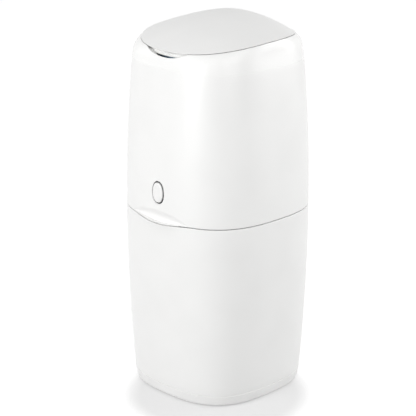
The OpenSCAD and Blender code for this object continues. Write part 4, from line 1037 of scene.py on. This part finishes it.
GROOVES, GROOVE_STEP = 4, 1.8
sole = [(0, 0.5, 0)] + [(r + GROOVE_STEP * g, z, 0) for g in range(GROOVES)
                        for r, z in ((1.6, 0.5), (1.8, 0), (2.9, 0), (3.1, 0.5))]
sole[-1] = (8.6, 0, 0)  # the last rib runs on to the rounded rim
foot = temporary(turned(rounded(sole + [(9, 0.5, 0.2), (9, 3.5, 0.2), (0, 3.5, 0)], 3, 20), (0, 0, 0), "z", 40))
feet = grown(copies_tree(), four(FOOT_PLACE, FOOT_PLACE, 0), Piece=foot, Material=rubber_black)
bpy.data.objects.remove(foot)
piece("ribbed_feet", feet, rubber_black, "bin", "foot_rubber", "rubber_feet", sharp=50)


# %% Seal in the rim
def seal_tree():
    tree, given = new_tree("section_along_path", Width=0.0032, Height=0.0033, Rounding=0.0008,
                           Material="NodeSocketMaterial")
    path = node(tree, "GeometryNodeMeshToCurve", {"Mesh": given["Geometry"]})
    up = node(tree, "GeometryNodeSetCurveNormal", {"Curve": path}, mode="Z_UP")
    square = node(tree, "GeometryNodeCurvePrimitiveQuadrilateral", {side: given[side] for side in ("Width", "Height")})
    soft = node(tree, "GeometryNodeFilletCurve", {"Count": 4, "Curve": square, "Radius": given["Rounding"]},
                mode="POLY")
    return closed_off(tree, node(tree, "GeometryNodeCurveToMesh", {"Curve": up, "Profile Curve": soft}), given)


seal_path = body_ring((WALL + RIM) / 2, SEAL_LEDGE + 1.65)
seal_mesh = grown(seal_tree(), seal_path, [(i, (i + 1) % RING) for i in range(RING)], Material=tpe_grey)
piece("rim_seal_strip", seal_mesh, tpe_grey, "bin", "soft_lip", "rim_seal")
lid_seal_shape = turned(rounded([(73, 508.5, 0), (74, 505.8, 0.6), (76.5, 505.8, 0.6), (77.5, 508.5, 0)], 4, 20),
                        (0, 0, 0), "z", 160)
piece("lid_seal_ring", lid_seal_shape, tpe_grey, "lid", "soft_lip", "lid_seal")

# %% [markdown]
# ## Soft edges on the inner mouldings
# The deck, clamp, jaws, latch and cutter have the right form in the frame, but with knife-sharp edges, and those
# look like paper. Their edges could be rounded by hand in new profiles. Instead a copy of each is merged, its
# flat faces are joined, and a bevel limited by angle rounds only the real edges.

# %% Rounded copies
def softened(name, width, segments=2, angle=40):
    """Shape of a frame node with its edges rounded, in millimetres."""
    shell = bmesh.new()
    shell.from_mesh(nodes[name].data)
    bmesh.ops.remove_doubles(shell, verts=shell.verts, dist=0.002 * MM)
    bmesh.ops.dissolve_limit(shell, angle_limit=math.radians(0.5), verts=shell.verts, edges=shell.edges)
    mesh = bpy.data.meshes.new(name + "_soft")
    shell.to_mesh(mesh)
    shell.free()
    made = linked(name + "_soft", mesh)
    bevel = made.modifiers.new("rounding", "BEVEL")
    bevel.width, bevel.segments, bevel.limit_method = width * MM, segments, "ANGLE"
    bevel.angle_limit, bevel.use_clamp_overlap = math.radians(angle), True
    return shape_of(evaluated_mesh(made))


def around(shape, count):
    """Shape repeated round the Z axis."""
    points, faces = shape
    repeats = []
    for i in range(count):
        a = 2 * math.pi * i / count
        turn = np.array([[math.cos(a), math.sin(a), 0], [-math.sin(a), math.cos(a), 0], [0, 0, 1]])
        repeats.append((points @ turn, faces))
    return joined(*repeats)


deck_ribs = around(block((90.2, -0.8, 486.6), (94.6, 0.8, 491.6), 0.3), 32)
frame_ribs = [block((x - 1.2, y - 1, 459), (x + 1.2, y + 1, 483), 0.3)
              for x in (-86.1, 86.1) for y in (-40, -20, 0, 20, 40)]
lever_ribs = [block((x - 0.8, LEVER_Y + 3.6, 272), (x + 0.8, LEVER_Y + 5.6, 336), 0.3) for x in (-6, 6)]
INNER = {"cassette_tray": ("cassette_deck", "housing", 0.5, [deck_ribs]),
         "clamp_body": ("clamp_frame", "housing", 0.5, frame_ribs),
         "latch_arm": ("latch_lever", "latch", 0.6, lever_ribs),
         "lid_lining": ("lid_liner", "lid", 0.5, [])}
for name, (node_name, body, width, ribs) in INNER.items():
    piece(name, joined(softened(node_name, width), *ribs), pp_grey, body, "inner_plastic", node_name)
piece("catch_leaf", softened("catch_spring", 0.25), spring_wire, "bin", "steel", "catch_spring")

# %% [markdown]
# ## Jaws
# The two jaws close over the bag. Each is a blue moulding with a soft lip, and its sloped top has low ridges that
# guide the bag to the middle. The ridges are part of the moulding, so they are added as rounded bars.

# %% Jaws and lips
RIDGES = ((8, 13.4), (13, 14.8), (18, 16.2), (23, 17.6))
for side, sign in (("left", -1), ("right", 1)):
    ridges = [block((min(sign * a, sign * (a + 1)), -48, JAW_Z + z), (max(sign * a, sign * (a + 1)), 48, JAW_Z + z + 1),
                    0.3) for a, z in RIDGES]
    piece(side + "_jaw_ridged", joined(softened("jaw_" + side, 0.9, 3), *ridges), pp_blue, side + "_jaw",
          "cassette_plastic", "jaw_" + side)
    piece(side + "_jaw_lip", softened("jaw_lip_" + side, 1.0, 3, 15), tpe_grey, side + "_jaw", "soft_lip",
          "jaw_lip_" + side)

# %% [markdown]
# ## Cutter
# An amber arm with a finger grip at its end swings the blade under the clamp. The grip has ridges, because it is
# pushed with a fingertip. The blade is ground sheet: flat, with one edge ground to a slant, so its section is
# drawn and not just its outline.

# %% Cutter
grip_ridges = [turned(rounded([(5.6, z, 0), (6.35, z + 0.2, 0.15), (6.35, z + 0.8, 0.15), (5.6, z + 1, 0)], 2, 9),
                      (PIVOT_X + 118, PIVOT_Y, 0), "z", 40) for z in (440, 442, 444, 446)]
piece("cutter_lever", joined(softened("cutter_arm", 0.6), *grip_ridges), acetal_amber, "cutter", "cutter_plastic",
      "cutter_arm")


def ground_blade():
    """Blade whose outer edge is ground to a slant."""
    outline = [(0, 0), (80, 0), (80, 9), (74, 15), (6, 15), (0, 9)]
    inner = [(0, 0), (80, 0), (80, 9), (73.4, 13), (6.6, 13), (0, 9)]
    return loft([np.array([(PIVOT_X + BLADE_START + a, PIVOT_Y - 4 + b, z) for a, b in shape]) for shape, z in
                 ((inner, CUTTER_Z - 0.8), (outline, CUTTER_Z - 0.1), (outline, CUTTER_Z))])


blade_holes = [rod((x, PIVOT_Y, 0), "z", 1.35, CUTTER_Z - 2, CUTTER_Z + 2, 40) for x in BLADE_SCREWS]
piece("cutter_blade_ground", carved(ground_blade(), *blade_holes), blade_steel, "cutter", "steel", "cutter_blade",
      sharp=10)

# %% [markdown]
# ## Film cassette
# A blue ring with a channel for the film, and a cover with grip ribs. Both are turned, because the real ones are
# round. The film inside is a tube pushed together into flat pleats, each a little out of line with the next. A
# tree sweeps one pleat round a circle, stacks it, and lets a seeded noise crumple it.

# %% Tub and cover
TUB = [(60, 487, 1), (88, 487, 1), (88, 503, 0.3), (86, 503, 0.3), (86, 489, 0.8), (62, 489, 0.8), (62, 502, 0.6),
       (60, 502, 0.6)]
COVER = [(66, 503, 0.5), (88, 503, 0.3), (88, 505.5, 0.8), (66, 505.5, 0.8)]
tub, cover = (turned(rounded(corners, 4, 30), (0, 0, 0), "z", 160) for corners in (TUB, COVER))
piece("cassette_ring", tub, pp_blue, "housing", "cassette_plastic", "cassette_tub")
cover_ribs = around(block((80, -0.7, 505.2), (86, 0.7, 506.2), 0.3), 60)
piece("cassette_lid_ring", joined(cover, cover_ribs), pp_blue, "housing", "cassette_plastic", "cassette_cover")


# %% Pleated film
def film_tree():
    tree, given = new_tree("pleated_film", Radius=0.0755, Width=0.019, Height=0.013, Pleats=9, Crumple=0.0005,
                           Seed=4.0, Material="NodeSocketMaterial")
    path = node(tree, "GeometryNodeCurvePrimitiveCircle", {"Resolution": 144, "Radius": given["Radius"]})
    fold = node(tree, "GeometryNodeCurvePrimitiveCircle", {"Resolution": 12, "Radius": 1.0})
    pitch = node(tree, MATH, [given["Height"], given["Pleats"]], operation="DIVIDE")
    half_width = node(tree, MATH, [given["Width"], 0.5], operation="MULTIPLY")
    half_thick = node(tree, MATH, [pitch, 0.49], operation="MULTIPLY")
    fold_size = node(tree, "ShaderNodeCombineXYZ", [half_width, half_thick, 1.0])
    flat = node(tree, "GeometryNodeTransform", {"Geometry": fold, "Scale": fold_size})
    ring = node(tree, "GeometryNodeCurveToMesh", {"Curve": path, "Profile Curve": flat})
    step = node(tree, "ShaderNodeCombineXYZ", {"Z": pitch})
    start = node(tree, "ShaderNodeCombineXYZ", {"Z": node(tree, MATH, [pitch, 0.5], operation="MULTIPLY")})
    levels = node(tree, "GeometryNodeMeshLine", {"Count": given["Pleats"], "Start Location": start, "Offset": step})
    stack = node(tree, "GeometryNodeInstanceOnPoints", {"Points": levels, "Instance": ring})
    real = node(tree, "GeometryNodeRealizeInstances", {"Geometry": stack})
    # 90 to the metre: crumples about 11 mm wide
    noise = node(tree, "ShaderNodeTexNoise", {"Scale": 90.0, "Detail": 2.0, "W": given["Seed"]},
                 noise_dimensions="4D")
    drift = node(tree, VECTORS, [(noise, "Color"), (0.5, 0.5, 0.5)], operation="SUBTRACT")
    push = node(tree, VECTORS, {0: drift, "Scale": given["Crumple"]}, operation="SCALE")
    return set_out(tree, node(tree, "GeometryNodeSetPosition", {"Geometry": real, "Offset": push}), given)


film_mesh = grown(film_tree(), [(0, 0, 489)], Width=0.0186, Material=film_milky)
piece("film_pleats", film_mesh, film_milky, "housing", "film", "film_stack", sharp=80)

# %% [markdown]
# ## Floor and light
# The bin stands on a plain pale floor under soft studio light: even light from all round, a strong softbox in
# front, a weak one on the left, two on the right, and one behind on the right, which brightens the far edge. The
# background is white because the world and the floor say so to the camera's rays and to reflections, and not
# because more light falls on the bin. Round the bin the floor is lifted less, in a soft patch set a little to the
# front right. The patch is a painted shadow, laid on by the floor's material: it is most of the grey at the bin's
# foot, and only the fainter shade under it is cast by the bin.

# %% Floor
NEAR_LIFT, FLOOR_LIFT, SHADE_FROM, SHADE_TO, SHADE_AT = 0.44, 0.76, 0.11, 0.155, (0.05, -0.05, 0)


def seen_directly(tree):
    """1 for camera and mirror rays, 0 for the rays that carry light."""
    rays = node(tree, "ShaderNodeLightPath")
    return node(tree, MATH, [(rays, "Is Camera Ray"), (rays, "Is Glossy Ray")], operation="MAXIMUM")


def studio_floor():
    """Pale matt floor; camera and mirror rays see it lifted, less so in a painted shadow round the bin, and it ends in
    white.
    """
    material, tree, place = new_material("studio_floor_matt")
    # The patch where the lift is lower is a painted shadow at the bin's foot
    away = node(tree, VECTORS, [place, SHADE_AT], operation="DISTANCE")
    clear = node(tree, "ShaderNodeMapRange", {"Value": (away, "Value"), "From Min": SHADE_FROM, "From Max": SHADE_TO,
                                              "To Min": NEAR_LIFT, "To Max": FLOOR_LIFT},
                 interpolation_type="SMOOTHSTEP")
    lift = node(tree, MATH, [seen_directly(tree), clear], operation="MULTIPLY")
    grain = node(tree, "ShaderNodeTexNoise", {"Vector": place, "Scale": 1 / (3 * MM)})
    bump = node(tree, "ShaderNodeBump", {"Height": grain, "Strength": 0.2, "Distance": 0.05 * MM})
    shader = node(tree, "ShaderNodeBsdfPrincipled",
                  {"Base Color": srgb("#ABABAB"), "Roughness": 0.9, "Specular IOR Level": 0.2,
                   "Emission Color": (1, 1, 1, 1), "Emission Strength": lift, "Normal": bump})
    node(tree, "ShaderNodeOutputMaterial", {"Surface": shader})
    return material


floor_mesh = bpy.data.meshes.new("floor")
floor_mesh.from_pydata([(-8, -8, 0), (8, -8, 0), (8, 8, 0), (-8, 8, 0)], [], [(0, 1, 2, 3)])
floor_mesh.materials.append(studio_floor())
linked("floor", floor_mesh)
print("floor made")


# %% World and softboxes
def add_world(strength):
    """White world: its strength lights the bin, and the camera and reflections see plain white."""
    world = bpy.data.worlds.new("studio")
    bpy.context.scene.world = world
    world.use_nodes = True
    tree = world.node_tree
    tree.nodes.clear()
    level = node(tree, "ShaderNodeMapRange", {"Value": seen_directly(tree), "To Min": strength, "To Max": 1.0})
    sky = node(tree, "ShaderNodeBackground", {"Color": (1, 1, 1, 1), "Strength": level})
    node(tree, "ShaderNodeOutputWorld", {"Surface": sky})


BIN_MIDDLE = Vector((0, 0, 0.28))
BOX_DISTANCE, BOX_SIZE = 2.6, 1.5
BOXES = {"front_softbox": (-10, 12, 34.3), "left_fill_softbox": (-60, 15, 3), "right_softbox": (80, 12, 10.2),
         "high_right_softbox": (80, 40, 8.2), "rear_right_softbox": (140, 14, 21)}
add_world(0.5)
for name, (turn, rise, watts) in BOXES.items():
    lamp = bpy.data.lights.new(name, "AREA")
    lamp.size, lamp.energy = BOX_SIZE, watts
    aimed(linked(name, lamp), BIN_MIDDLE + outward(turn, rise) * BOX_DISTANCE, BIN_MIDDLE)
print("lights:", list(BOXES))

# %% Finish
bpy.context.scene.view_settings.view_transform = "Standard"
